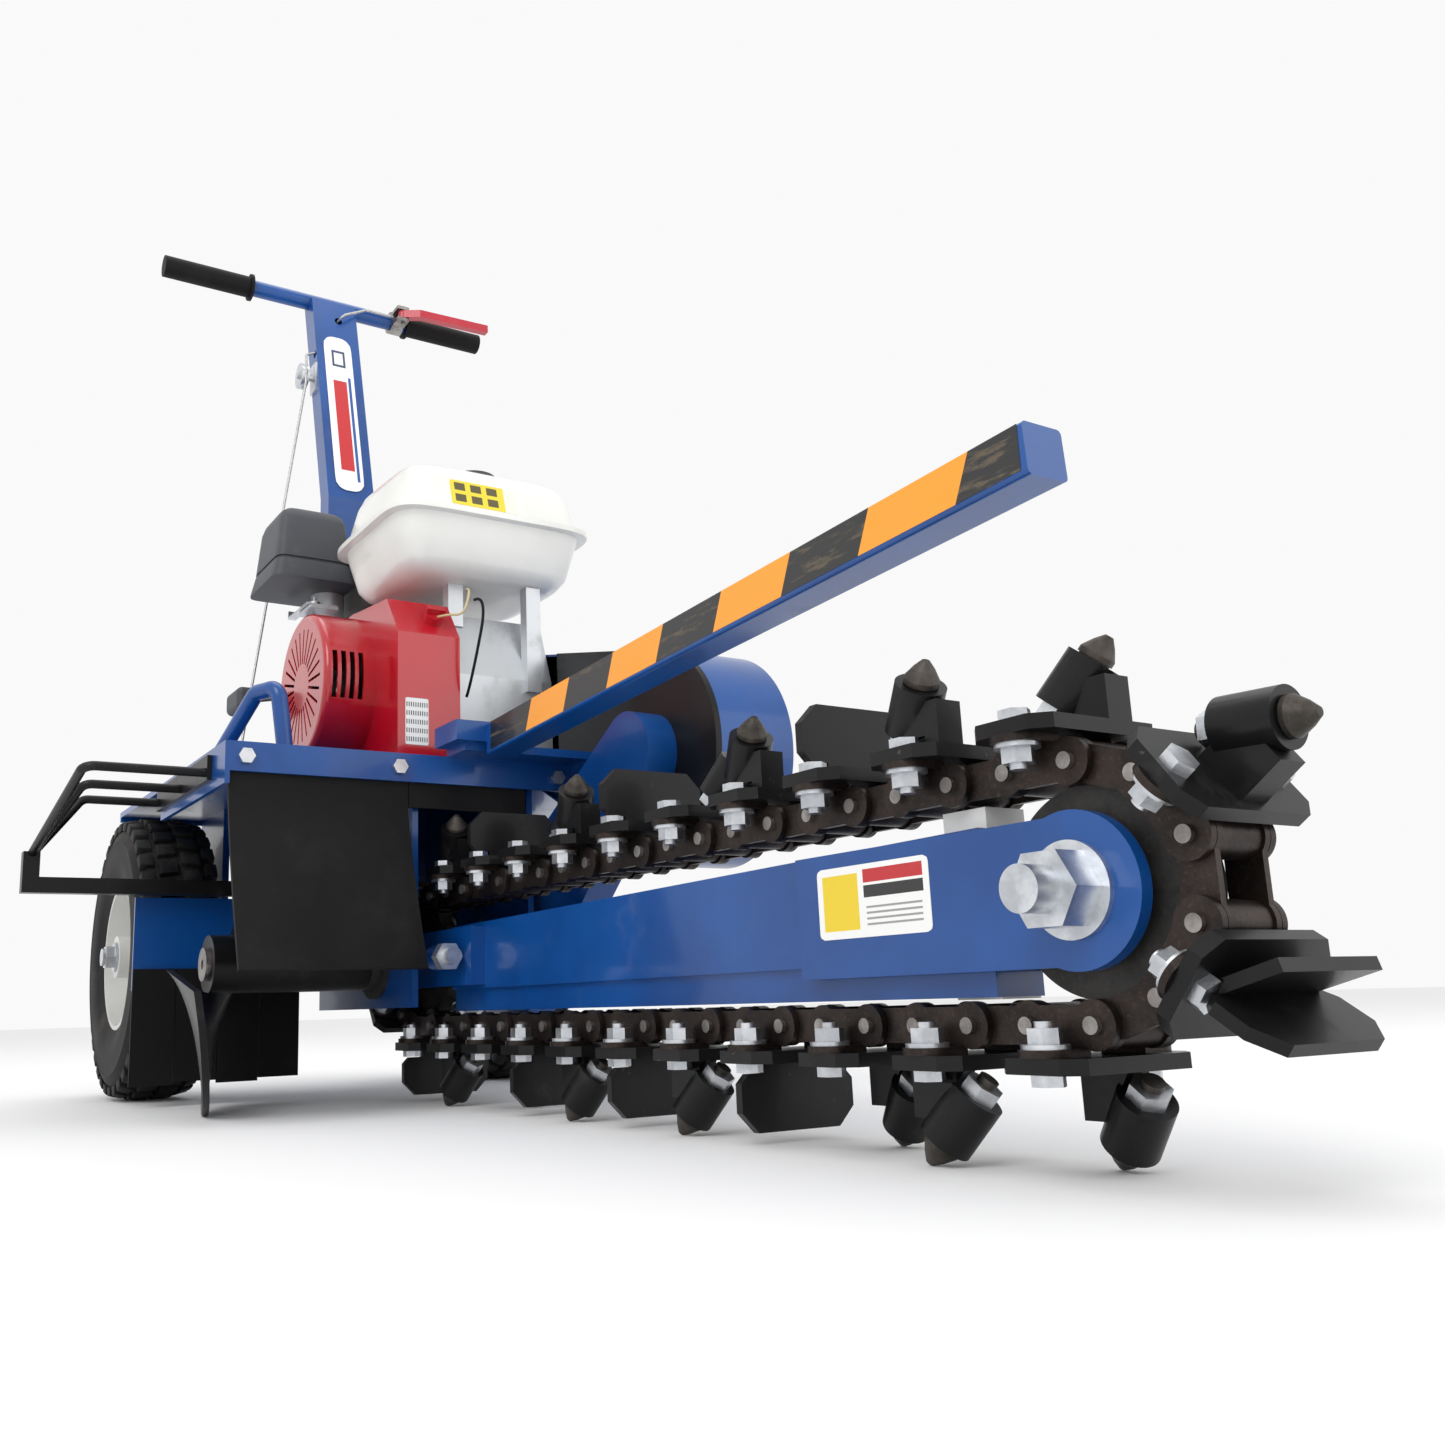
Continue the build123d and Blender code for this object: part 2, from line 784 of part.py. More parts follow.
def tyre(y):
    """A rounded tyre seated on its rim."""
    half = tyre_w / 2
    with BuildPart() as body:
        with BuildSketch(Plane.YZ):
            with BuildLine():
                Polyline((4 - half, rim_r + 22), (-rim_w / 2, rim_r), (rim_w / 2, rim_r), (half - 4, rim_r + 22))
                ThreePointArc((half - 4, rim_r + 22), (half, rim_r + 48), (half - 12, tyre_r - 12))
                ThreePointArc((half - 12, tyre_r - 12), (0, tyre_r), (12 - half, tyre_r - 12))
                ThreePointArc((12 - half, tyre_r - 12), (-half, rim_r + 48), (4 - half, rim_r + 22))
            make_face()
        revolve(axis=Axis.Y)
        bead = rim_w / 2 - tyre_wall
        side = half - tyre_wall - 3
        with BuildSketch(Plane.YZ):
            Polygon((-bead, rim_r - 1), (bead, rim_r - 1), (side - 4, rim_r + 26), (side, rim_r + 52),
                    (side - 16, tyre_r - 18), (16 - side, tyre_r - 18), (-side, rim_r + 52),
                    (4 - side, rim_r + 26), align=None)
        revolve(axis=Axis.Y, mode=Mode.SUBTRACT)
    body.part = body.part.moved(Location((wheel_x, y, tyre_r)))
    return body


keep(wheel_rim(-wheel_y), "right_rim")
keep(wheel_rim(wheel_y), "left_rim")
keep(tyre(-wheel_y), "right_tyre")
keep(tyre(wheel_y), "left_tyre")


# ======== deck and frame ========
deck_low = deck_z - deck_t
lip_low = deck_z - lip_h
cutout = (case_y[1] - 2, guard_y[1] + 4)
rise = radians(bar_rise)
bar_rear_z = bar_tip_z - (bar_tip_x - bar_rear_x) * tan(rise)
stub_top = bar_rear_z + bar_side / 2 + 2

with BuildPart() as deck:
    block((deck_back, deck_front), (-deck_half, deck_half), (deck_low, deck_z))
    block((deck_front - lip_t, deck_front), (-deck_half, deck_half), (lip_low, deck_z))
    block((deck_back, deck_back + lip_t), (-deck_half, deck_half), (deck_z - back_lip_h, deck_z))
    for side in (-1, 1):
        lip_y = sorted((side * (deck_half - lip_t), side * deck_half))
        block((side_lip_x, deck_front), lip_y, (deck_z - side_lip_h, deck_z))
    block((cutout_x, deck_front + 1), cutout, (deck_z - side_lip_h, deck_z + 1), Mode.SUBTRACT)
    block((deck_front - lip_t, 190), (-44, cutout[0]), (deck_z, deck_z + bracket_t))
    block((deck_front - lip_t, bar_rear_x), (-60, 22), (deck_z + bracket_t, stub_top))
    with BuildSketch(y_plane(cutout[0])):
        Polygon((deck_front - lip_t, lip_low), (deck_front, lip_low), (188, deck_z), (deck_front - lip_t, deck_z),
                align=None)
    extrude(amount=8)
    loop_feet = ((100, -240, deck_z - 2), (100, -250, 503), (62, -266, 503), (-30, -294, deck_z - 2))
    add(swept_bar(loop_feet, loop_r, 15))
keep(deck, "deck")

strip_end = -349.0

with BuildPart() as frame_plates:
    for side in (-1, 1):
        span = sorted((side * side_y, side * (side_y + side_t)))
        block(side_x, span, (side_low, deck_low))
        rod_y(0, head_z, span, head_shaft_r + 2, Mode.SUBTRACT)
        drop = sorted((side * drop_y[0], side * drop_y[1]))
        block(drop_x, drop, (drop_low, deck_low))
        rod_y(wheel_x, tyre_r, drop, axle_r, Mode.SUBTRACT)
    block((side_x[0], side_x[0] + 8), (-side_y, side_y), (side_low, deck_low))
    block((strip_x - 5, strip_x), (strip_end, -side_y - side_t), (150, 272))
keep(frame_plates, "frame_plates")

with BuildPart() as rubber_flaps:
    hang = deck_front - lip_t - flap_t
    flap_out = deck_half - lip_t - 1
    with BuildSketch(y_plane(-flap_out)):
        Polygon((hang, deck_low), (hang, flap_bend), (hang + flap_kick, flap_low), (hang + flap_kick + flap_t, flap_low),
                (hang + flap_t, flap_bend), (hang + flap_t, deck_low), align=None)
    extrude(amount=-(flap_out + flap_in))
    block((hang, hang + flap_t), (flap_in + 1, centre_flap_end), (centre_flap_low, deck_low))
keep(rubber_flaps, "rubber_flaps")

with BuildPart() as deck_bolts:
    for y in (-298, -110, 110, 298):
        with BuildSketch(Plane(origin=(deck_front, y, deck_z - lip_h / 2), x_dir=(0, 1, 0), z_dir=(1, 0, 0))):
            RegularPolygon(deck_bolt_af / 2, 6, major_radius=False)
        extrude(amount=deck_bolt_h)
    with Locations(*[(x, y, deck_z + foot_t) for x in foot_bolt_x for y in (30, 120)]):
        add(hexagon(deck_bolt_af, deck_bolt_h))
    with Locations(*[(post_x + x, y, deck_z + foot_t) for x in (-32, 32) for y in (-56, 56)]):
        add(hexagon(deck_bolt_af, deck_bolt_h))
keep(deck_bolts, "deck_bolts")

with BuildPart() as deflector_strips:
    for k in range(strip_count):
        low_y = strip_end + k * strip_w
        block((strip_x, strip_x + strip_t), (low_y, low_y + strip_w - 1), (28 + 4 * (k % 2), 178))
keep(deflector_strips, "deflector_strips")

with BuildPart() as auger_guard:
    corner_x, corner_y, corner_z = guard_corner
    half = guard_tube / 2
    low_z = corner_z - 48
    for x, y in guard_bends:
        route = [(corner_x, corner_y, corner_z), (x, y, guard_z), (x, -deck_half - 1, guard_z)]
        add(swept_bar(route, guard_bar_r, 14))
    block((corner_x - half, corner_x + half), (corner_y - half, corner_y + half), (low_z, corner_z + 4))
    block((corner_x - half, corner_x + half), (corner_y - half, -side_y - side_t), (low_z, low_z + guard_tube))
    block((corner_x - half, guard_bends[0][0] + 8), (-deck_half - 6, -deck_half), (guard_z - 10, guard_z + 20))
keep(auger_guard, "auger_guard")


# ======== safety bar ========

with BuildPart() as safety_bar:
    bar_face = Plane(origin=(bar_tip_x, 0, bar_tip_z), x_dir=(0, 1, 0), z_dir=(cos(rise), 0, sin(rise)))
    with BuildSketch(bar_face) as bar_outline:
        Rectangle(bar_side, bar_side)
        fillet(bar_outline.vertices(), 4)
    extrude(amount=-bar_rise_len - 10)
    with BuildSketch(bar_face.offset(-4)):
        Rectangle(bar_side - 2 * bar_wall, bar_side - 2 * bar_wall)
    extrude(amount=-bar_rise_len - 10, mode=Mode.SUBTRACT)
    block((bar_rear_x - 60, bar_rear_x), (-bar_side, bar_side), (bar_rear_z - 60, bar_rear_z + 60), Mode.SUBTRACT)
keep(safety_bar, "safety_bar")


# ======== handle ========
lean = radians(post_rake)


def post_mid(z):
    """The X of the raked part of the post's mid-line at a height."""
    return post_x - (z - post_knee_z) * tan(lean)


grip_bar_x = post_mid(grip_bar_z)


def post_path(offset):
    """Points of the post's side outline, a given distance from its mid-line."""
    return [(post_x + offset, deck_z + foot_t), (post_x + offset, post_knee_z - offset * tan(lean / 2)),
            (grip_bar_x + offset / cos(lean), grip_bar_z)]


with BuildPart() as handle_post:
    with BuildSketch(y_plane(-post_w / 2)):
        Polygon(*post_path(-post_d / 2), *reversed(post_path(post_d / 2)), align=None)
    extrude(amount=-post_w)
    hollow = post_d / 2 - post_wall
    with BuildSketch(y_plane(-post_w / 2 + post_wall)):
        Polygon(*post_path(-hollow), *reversed(post_path(hollow)), align=None)
    extrude(amount=-(post_w - 2 * post_wall), mode=Mode.SUBTRACT)
    block((post_x - 45, post_x + 45), (-post_w / 2 - 30, post_w / 2 + 30), (deck_z, deck_z + foot_t))
    rod_y(grip_bar_x, grip_bar_z, (-post_w, post_w), grip_bar_r, Mode.SUBTRACT)
    rod_x(wire_hole_y, wire_hole_z, (post_mid(wire_hole_z), post_mid(wire_hole_z) + post_d), wire_hole_r,
          Mode.SUBTRACT)
    rod_y(post_mid(wire_exit_z) + 11, wire_exit_z, (-post_w / 2 - 1, -post_w / 2 + post_wall + 1), wire_hole_r,
          Mode.SUBTRACT)
keep(handle_post, "handle_post")

with BuildPart() as handle_bar:
    rod_y(grip_bar_x, grip_bar_z, (-grip_bar_half + 3, grip_bar_half - 3), grip_bar_r)
keep(handle_bar, "handle_bar")

with BuildPart() as hand_grips:
    inner = grip_bar_half - grip_len
    for side in (-1, 1):
        rod_y(grip_bar_x, grip_bar_z, sorted((side * inner, side * grip_bar_half)), grip_r)
        rod_y(grip_bar_x, grip_bar_z, sorted((side * inner, side * (inner + 5))), grip_r + 5)
        rod_y(grip_bar_x, grip_bar_z, sorted((side * (inner - 1), side * (grip_bar_half - 3))), grip_bar_r,
              Mode.SUBTRACT)
keep(hand_grips, "hand_grips")

lever_y = grip_bar_half - grip_len - 14
lever_x = grip_bar_x + 34

with BuildPart() as lever_bracket:
    rod_y(grip_bar_x, grip_bar_z, (lever_y - 14, lever_y + 8), grip_bar_r + 6)
    for z in (-14, 8):
        block((grip_bar_x, lever_x + 10), (lever_y - 14, lever_y + 8), (grip_bar_z + z, grip_bar_z + z + 6))
    rod_y(grip_bar_x, grip_bar_z, (lever_y - 20, lever_y + 20), grip_bar_r, Mode.SUBTRACT)
    rod_z(lever_x, lever_y, (grip_bar_z - 18, grip_bar_z + 18), lever_pin_r)
keep(lever_bracket, "lever_bracket")

with BuildPart() as clutch_lever:
    with BuildSketch(Plane.XY.offset(grip_bar_z - 7)):
        with Locations((lever_x, lever_y)):
            Circle(9)
        Polygon((lever_x - 6, lever_y), (lever_x + 6, lever_y - 7), (lever_x + 24, lever_y + 24),
                (lever_x + 30, lever_y + lever_len), (lever_x + 16, lever_y + lever_len),
                (lever_x + 10, lever_y + 30), align=None)
        with Locations((lever_x, lever_y)):
            Circle(lever_pin_r + fit_gap, mode=Mode.SUBTRACT)
    extrude(amount=14)
keep(clutch_lever, "clutch_lever")

sheave_x = post_mid(sheave_z)
sheave_y = -post_w / 2 - 22

with BuildPart() as sheave_bracket:
    block((sheave_x - 14, sheave_x + 14), (-post_w / 2 - 4, -post_w / 2), (sheave_z - 26, sheave_z + 26))
    rod_y(sheave_x, sheave_z, (sheave_y - sheave_t / 2 - 4, -post_w / 2), sheave_pin_r)
keep(sheave_bracket, "sheave_bracket")

with BuildPart() as cable_sheave:
    for side in (-1, 1):
        rod_y(sheave_x, sheave_z, sorted((sheave_y + side * wire_r, sheave_y + side * sheave_t / 2)), sheave_r)
    rod_y(sheave_x, sheave_z, (sheave_y - sheave_t / 2, sheave_y + sheave_t / 2), sheave_r - 2 * wire_r)
    rod_y(sheave_x, sheave_z, (sheave_y - sheave_t, sheave_y + sheave_t), sheave_pin_r + fit_gap, Mode.SUBTRACT)
keep(cable_sheave, "cable_sheave")

wire_x = sheave_x + sheave_r - wire_r

with BuildPart() as clutch_cable:
    route = [(lever_x - 12, lever_y - 14.5, grip_bar_z), (lever_x - 12, 62, grip_bar_z),
             (post_mid(wire_hole_z) + 34, wire_hole_y + 4, wire_hole_z + 6),
             (post_mid(wire_hole_z) - 2, wire_hole_y - 6, wire_hole_z - 8),
             (post_mid(1270) - 3, -8, 1270), (wire_x, sheave_y, 1228), (wire_x, sheave_y, sheave_z - 20),
             (post_x - 6, -178, deck_z + 14)]
    add(swept_bar(route, wire_r, 9))
    rod_z(post_x - 6, -178, (deck_z, deck_z + 22), 7)
keep(clutch_cable, "clutch_cable")


# ======== engine ========

with BuildPart() as crankcase:
    with BuildSketch(y_plane(block_y)):
        Polygon((block_x[0], deck_z + foot_t), (block_x[1], deck_z + foot_t), (block_x[1], crank_z),
                (30, 648), (-130, 656), (block_x[0], 610), align=None)
    extrude(amount=block_y - pto_y)
    block((foot_bolt_x[0] - 12, foot_bolt_x[1] + 12), (block_y + 10, pto_y - 10), (deck_z, deck_z + foot_t))
    for x, y, z in bracket_at:
        block((x - 9, x + 9), (y - 11, y + 11), (z, tank_low_z))
    rod_y(crank_x, crank_z, (block_y - 1, pto_y + 1), crank_r + fit_gap, Mode.SUBTRACT)
keep(crankcase, "crankcase")

with BuildPart() as cylinder_head:
    block((head_x + 18, block_x[0]), (30, 120), (560, 672))
    block((head_x, head_x + 18), (38, 112), (570, 664))
    for k in range(8):
        x = head_x + 24 + 13 * k
        block((x, x + 4), (20, 130), (548, 690))
    rod_z(-240, 75, (680, muffler_z[0]), 16)
keep(cylinder_head, "cylinder_head")


def cover_shape(y, inset):
    """The fan cover's outline, drawn smaller by an inset."""
    side = cover_x - inset
    with BuildSketch(y_plane(y)) as shape:
        with Locations((crank_x, crank_z)):
            Circle(cover_r - inset)
        Polygon((crank_x, crank_z + cover_r - inset), (40 - inset / 2, 655 - inset), (side, 600),
                (side, 437 + inset), (crank_x, 437 + inset), align=None)
    return shape.sketch


with BuildPart() as fan_cover:
    extrude(cover_shape(fan_y, 0), amount=fan_y)
    extrude(cover_shape(fan_y + cover_wall, cover_wall), amount=fan_y, mode=Mode.SUBTRACT)
    rod_y(crank_x, crank_z, (fan_y - 1, fan_y + cover_wall + 1), recoil_r - 8, Mode.SUBTRACT)
keep(fan_cover, "fan_cover")

rope_from = (-188.0, -114.0, grip_at[2])


def rope_run(radius, spare=0.0):
    """A straight run from the starter grip into the recoil cover."""
    inward = (Vector(*rope_from) - Vector(*grip_at)).normalized()
    with BuildPart() as rope:
        with BuildLine() as path:
            Line(grip_at, Vector(*rope_from) + inward * spare)
        with BuildSketch(path.line ^ 0):
            Circle(radius)
        sweep()
    return rope.part


with BuildPart() as recoil_cover:
    rod_y(crank_x, crank_z, (recoil_y, fan_y), recoil_r)
    fillet(recoil_cover.edges().group_by(Axis.Y)[0], 8)
    rod_y(crank_x, crank_z, (recoil_y + 4, fan_y + 1), recoil_r - 4, Mode.SUBTRACT)
    with BuildSketch(y_plane(recoil_y + 5)):
        with Locations((crank_x, crank_z)):
            with PolarLocations(56, grille_slots):
                Rectangle(2 * (grille_r - 56), 4)
    extrude(amount=6, mode=Mode.SUBTRACT)
    for y in (-146, -134, -122, -110):
        block((crank_x + 70, crank_x + recoil_r + 1), (y - 3.5, y + 3.5), (crank_z - 34, crank_z + 30),
              Mode.SUBTRACT)
        block((crank_x - 25, crank_x + 30), (y - 3, y + 3), (crank_z + 80, crank_z + recoil_r + 1), Mode.SUBTRACT)
    add(rope_run(rope_r + rope_gap, 8), mode=Mode.SUBTRACT)
keep(recoil_cover, "recoil_cover")

with BuildPart() as starter_grip:
    x, y, z = grip_at
    block((x - 34, x + 34), (y - 14, y + 14), (z - 17, z + 17))
    fillet(starter_grip.edges(), 9)
    add(rope_run(rope_r))
keep(starter_grip, "starter_grip")

with BuildPart() as crankshaft:
    rod_y(crank_x, crank_z, (-142, pto_end), crank_r)
    rod_y(crank_x, crank_z, (-78, -24), flywheel_r)
    rod_y(crank_x, crank_z, (-146, -100), 28)
keep(crankshaft, "crankshaft")


def tank_outline(z, inset):
    """The tank's rounded plan, drawn smaller by an inset."""
    wide = tank_x[1] - tank_x[0] - 2 * inset
    deep = tank_y[1] - tank_y[0] - 2 * inset
    middle = (sum(tank_x) / 2, sum(tank_y) / 2, z)
    with BuildSketch(Plane(origin=middle)) as plan:
        RectangleRounded(wide, deep, 40 - inset)
    return plan.sketch


with BuildPart() as fuel_tank:
    top = tank_top_z - tank_rim_z
    low = tank_rim_z - tank_low_z
    extrude(tank_outline(tank_rim_z, tank_rim_out), amount=top, taper=9)
    extrude(tank_outline(tank_rim_z, tank_rim_out), amount=low, dir=(0, 0, -1), taper=9)
    extrude(tank_outline(tank_rim_z - tank_rim_t / 2, 0), amount=tank_rim_t)
    inner = tank_rim_out + tank_wall
    extrude(tank_outline(tank_rim_z, inner), amount=top - tank_wall, taper=9, mode=Mode.SUBTRACT)
    extrude(tank_outline(tank_rim_z, inner), amount=low - tank_wall, dir=(0, 0, -1), taper=9, mode=Mode.SUBTRACT)
    rod_z(cap_at[0], cap_at[1], (tank_top_z - 10, tank_top_z + 1), cap_r - 8, Mode.SUBTRACT)
keep(fuel_tank, "fuel_tank")

with BuildPart() as fuel_cap:
    rod_z(cap_at[0], cap_at[1], (tank_top_z, tank_top_z + 16), cap_r)
    rod_z(cap_at[0], cap_at[1], (tank_top_z - 10, tank_top_z), cap_r - 9)
keep(fuel_cap, "fuel_cap")

with BuildPart() as air_cleaner:
    block((cleaner_x[0] + 5, cleaner_x[1] - 5), (cleaner_y[0] + 5, cleaner_y[1] - 5), (cleaner_z[0], cleaner_z[1]))
    fillet(air_cleaner.edges().filter_by(Axis.Z), 14)
    fillet(air_cleaner.edges().group_by(Axis.Z)[-1], 10)
    block(cleaner_x, cleaner_y, (cleaner_z[0], cleaner_z[0] + 26))
    block((cleaner_x[0] + 12, cleaner_x[1] - 12), (cleaner_y[0] + 12, cleaner_y[1] - 12),
          (cleaner_z[0] + 5, cleaner_z[1] - 12), Mode.SUBTRACT)
keep(air_cleaner, "air_cleaner")

with BuildPart() as carburettor:
    x, y = carb_at
    rod_z(x, y, (carb_z - 26, cleaner_z[0]), 25)
    rod_y(x, carb_z, (y, 20), 21)
    block((x - 8, throttle_at[0] + 10), (throttle_at[1] - 8, y), (throttle_at[2] - 6, throttle_at[2]))
    rod_z(throttle_at[0], throttle_at[1], (throttle_at[2] - 2, throttle_at[2] + 12), 3)
    rod_y(x, choke_z, (y - 34, y), 3)
keep(carburettor, "carburettor")

with BuildPart() as throttle_lever:
    x, y, z = throttle_at
    block((x - 92, x), (y - 12, y), (z + 1, z + 1 + lever_t))
    rod_z(x, y, (z + 1, z + 1 + lever_t), 9)
    block((x - 92, x - 89), (y - 12, y), (z + 1, z + 14))
    rod_z(x, y, (z, z + 10), 3 + fit_gap, Mode.SUBTRACT)
keep(throttle_lever, "throttle_lever")

with BuildPart() as choke_lever:
    x, y = carb_at
    at = (y - 33, y - 30)
    rod_y(x, choke_z, at, 9)
    block((x - 7, x + 7), at, (choke_z - 38, choke_z))
    rod_y(x, choke_z, (at[0] - 1, at[1] + 1), 3 + fit_gap, Mode.SUBTRACT)
keep(choke_lever, "choke_lever")

with BuildPart() as muffler:
    block(muffler_x, muffler_y, muffler_z)
    fillet(muffler.edges(), 14)
    rod_y(-200, 790, (muffler_y[1] - 20, muffler_y[1] + 14), 13)
    rod_y(-200, 790, (muffler_y[1] - 14, muffler_y[1] + 15), 11, Mode.SUBTRACT)
    block((muffler_x[0] + 5, muffler_x[1] - 5), (muffler_y[0] + 5, muffler_y[1] - 22),
          (muffler_z[0] + 5, muffler_z[1] - 5), Mode.SUBTRACT)
keep(muffler, "muffler")

with BuildPart() as engine_switch:
    knob_face = Plane(origin=(60, -32, 627.6), x_dir=(0, 1, 0), z_dir=(55, 0, 40))
    with BuildSketch(knob_face):
        Circle(knob_r)
    extrude(amount=12)
    with BuildSketch(knob_face):
        Rectangle(26, 9)
    extrude(amount=20)
keep(engine_switch, "engine_switch")


# ======== drive ========

def two_circles(y, small, big, inset):
    """The outline round two circles given as (x, z, r), drawn smaller by an inset."""
    (x0, z0, r0), (x1, z1, r1) = small, big
    gap = hypot(x1 - x0, z1 - z0)
    along = atan2(z1 - z0, x1 - x0)
    open_by = pi / 2 + asin((r1 - r0) / gap)
    corners = []
    for x, z, r, turn in ((x0, z0, r0, open_by), (x0, z0, r0, -open_by), (x1, z1, r1, -open_by),
                          (x1, z1, r1, open_by)):
        corners.append((x + (r - inset) * cos(along + turn), z + (r - inset) * sin(along + turn)))
    with BuildSketch(y_plane(y)) as shape:
        with Locations((x0, z0)):
            Circle(r0 - inset)
        with Locations((x1, z1)):
            Circle(r1 - inset)
        Polygon(*corners, align=None)
    return shape.sketch


guard_small = (crank_x, crank_z, guard_small_r)
guard_big = (jack_x, jack_z, guard_big_r)
belt_small = (crank_x, crank_z, small_pulley_r + belt_t)
belt_big = (jack_x, jack_z, big_pulley_r + belt_t)
case_small = (jack_x, jack_z, case_small_r)
case_big = (0, head_z, case_big_r)

with BuildPart() as belt_guard:
    depth = guard_y[1] - guard_y[0]
    extrude(two_circles(guard_y[0], guard_small, guard_big, 0), amount=-depth)
    extrude(two_circles(guard_y[0] - 1, guard_small, guard_big, guard_wall), amount=guard_wall - depth - 1,
            mode=Mode.SUBTRACT)
keep(belt_guard, "belt_guard")

with BuildPart() as guard_plate:
    extrude(two_circles(case_out, guard_small, guard_big, 0), amount=case_out - guard_y[0])
    block((crank_x - 100, block_x[1] + 28), (case_out - 1, guard_y[0] + 1), (deck_z - 60, 700), Mode.SUBTRACT)
    rod_y(jack_x, jack_z, (case_out, guard_y[0] + 14), 32)
    rod_y(jack_x, jack_z, (case_out - 1, guard_y[0] + 15), jack_r + fit_gap, Mode.SUBTRACT)
    for x, z in ((170, 486), (300, 492)):
        block((x, x + 26), (case_out - 1, guard_y[0] + 1), (z, z + 12), Mode.SUBTRACT)
keep(guard_plate, "guard_plate")


def flanged_pulley(x, z, r, bore):
    """A flat pulley with a flange at each edge of its belt."""
    with BuildPart() as pulley:
        rod_y(x, z, pulley_y, r)
        rod_y(x, z, (pulley_y[0] - 4, pulley_y[0]), r + belt_t)
        rod_y(x, z, (pulley_y[1], pulley_y[1] + 4), r + belt_t)
        rod_y(x, z, (pulley_y[0] - 5, pulley_y[1] + 5), bore, Mode.SUBTRACT)
    return pulley


keep(flanged_pulley(crank_x, crank_z, small_pulley_r, crank_r), "engine_pulley")
driven = flanged_pulley(jack_x, jack_z, big_pulley_r, jack_r)

with BuildPart() as driven_pulley:
    add(driven.part)
    web = sum(pulley_y) / 2
    for start, end in ((pulley_y[0] - 5, web - 5), (web + 5, pulley_y[1] + 5)):
        with BuildSketch(y_plane(start)):
            with Locations((jack_x, jack_z)):
                Circle(big_pulley_r - 12)
                Circle(jack_r + 14, mode=Mode.SUBTRACT)
        extrude(amount=start - end, mode=Mode.SUBTRACT)
keep(driven_pulley, "driven_pulley")

with BuildPart() as drive_belt:
    belt_wide = pulley_y[1] - pulley_y[0] - 2 * clear
    extrude(two_circles(pulley_y[0] + clear, belt_small, belt_big, 0), amount=-belt_wide)
    extrude(two_circles(pulley_y[0] + clear, belt_small, belt_big, belt_t - fit_gap), amount=-belt_wide,
            mode=Mode.SUBTRACT)
keep(drive_belt, "drive_belt")

with BuildPart() as jackshaft:
    rod_y(jack_x, jack_z, (case_in + case_wall + 1, pulley_y[1] + 12), jack_r)
    add(toothed_disc(jack_x, jack_z, final_y, jack_sprocket_r, 11, 5))
keep(jackshaft, "jackshaft")

with BuildPart() as chain_case:
    wide = case_out - case_in
    extrude(two_circles(case_in, case_small, case_big, 0), amount=-wide)
    extrude(two_circles(case_in + case_wall, case_small, case_big, case_wall), amount=2 * case_wall - wide,
            mode=Mode.SUBTRACT)
    rod_y(0, head_z, (case_in - 1, case_in + case_wall + 1), head_shaft_r + fit_gap, Mode.SUBTRACT)
    rod_y(jack_x, jack_z, (case_out - case_wall - 1, case_out + 1), jack_r + fit_gap, Mode.SUBTRACT)
keep(chain_case, "chain_case")


# ======== datum and export ========
limits = [piece.part.bounding_box() for piece in pieces]
datum = (-(min(b.min.X for b in limits) + max(b.max.X for b in limits)) / 2,
         -(min(b.min.Y for b in limits) + max(b.max.Y for b in limits)) / 2,
         -min(b.min.Z for b in limits))
os.makedirs("parts", exist_ok=True)
for piece in pieces:
    name = piece.part.label
    moved = piece.part.moved(Location(datum))
    moved.label = name
    export_step(moved, "parts/" + name + ".step")
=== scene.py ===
import bpy
import json
from math import atan2, cos, pi, radians, sin
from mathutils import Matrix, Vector


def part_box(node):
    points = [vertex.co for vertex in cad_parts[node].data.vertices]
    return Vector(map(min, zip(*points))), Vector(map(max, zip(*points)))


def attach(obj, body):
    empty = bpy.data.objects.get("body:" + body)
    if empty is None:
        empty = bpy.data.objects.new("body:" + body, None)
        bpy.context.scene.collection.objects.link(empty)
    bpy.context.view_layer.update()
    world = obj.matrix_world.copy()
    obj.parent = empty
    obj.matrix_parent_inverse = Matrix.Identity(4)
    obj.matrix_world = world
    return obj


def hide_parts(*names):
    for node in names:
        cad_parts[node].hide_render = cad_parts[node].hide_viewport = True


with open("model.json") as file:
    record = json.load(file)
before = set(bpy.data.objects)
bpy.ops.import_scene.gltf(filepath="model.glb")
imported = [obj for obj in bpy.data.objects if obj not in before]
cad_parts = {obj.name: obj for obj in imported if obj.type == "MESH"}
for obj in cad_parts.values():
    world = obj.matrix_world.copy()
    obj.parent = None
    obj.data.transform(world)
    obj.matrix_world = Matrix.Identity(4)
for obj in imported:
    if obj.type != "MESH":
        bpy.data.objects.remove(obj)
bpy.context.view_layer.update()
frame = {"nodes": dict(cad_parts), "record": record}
print("frame loaded")


class Wire:  # one value in a material, so that shader maths reads as ordinary maths
    def __init__(self, finish, socket):
        self.finish = finish
        self.socket = socket

    def maths(self, operation, other, swap=False):
        pair = (other, self) if swap else (self, other)
        return self.finish.node("Math", {0: pair[0], 1: pair[1]}, operation=operation)

    def __add__(self, other):
        return self.maths("ADD", other)

    def __radd__(self, other):
        return self.maths("ADD", other, True)

    def __sub__(self, other):
        return self.maths("SUBTRACT", other)

    def __rsub__(self, other):
        return self.maths("SUBTRACT", other, True)

    def __mul__(self, other):
        return self.maths("MULTIPLY", other)

    def __rmul__(self, other):
        return self.maths("MULTIPLY", other, True)

    def __gt__(self, other):
        return self.maths("GREATER_THAN", other)

    def __lt__(self, other):
        return self.maths("LESS_THAN", other)

    def __mod__(self, other):
        return self.maths("FLOORED_MODULO", other)


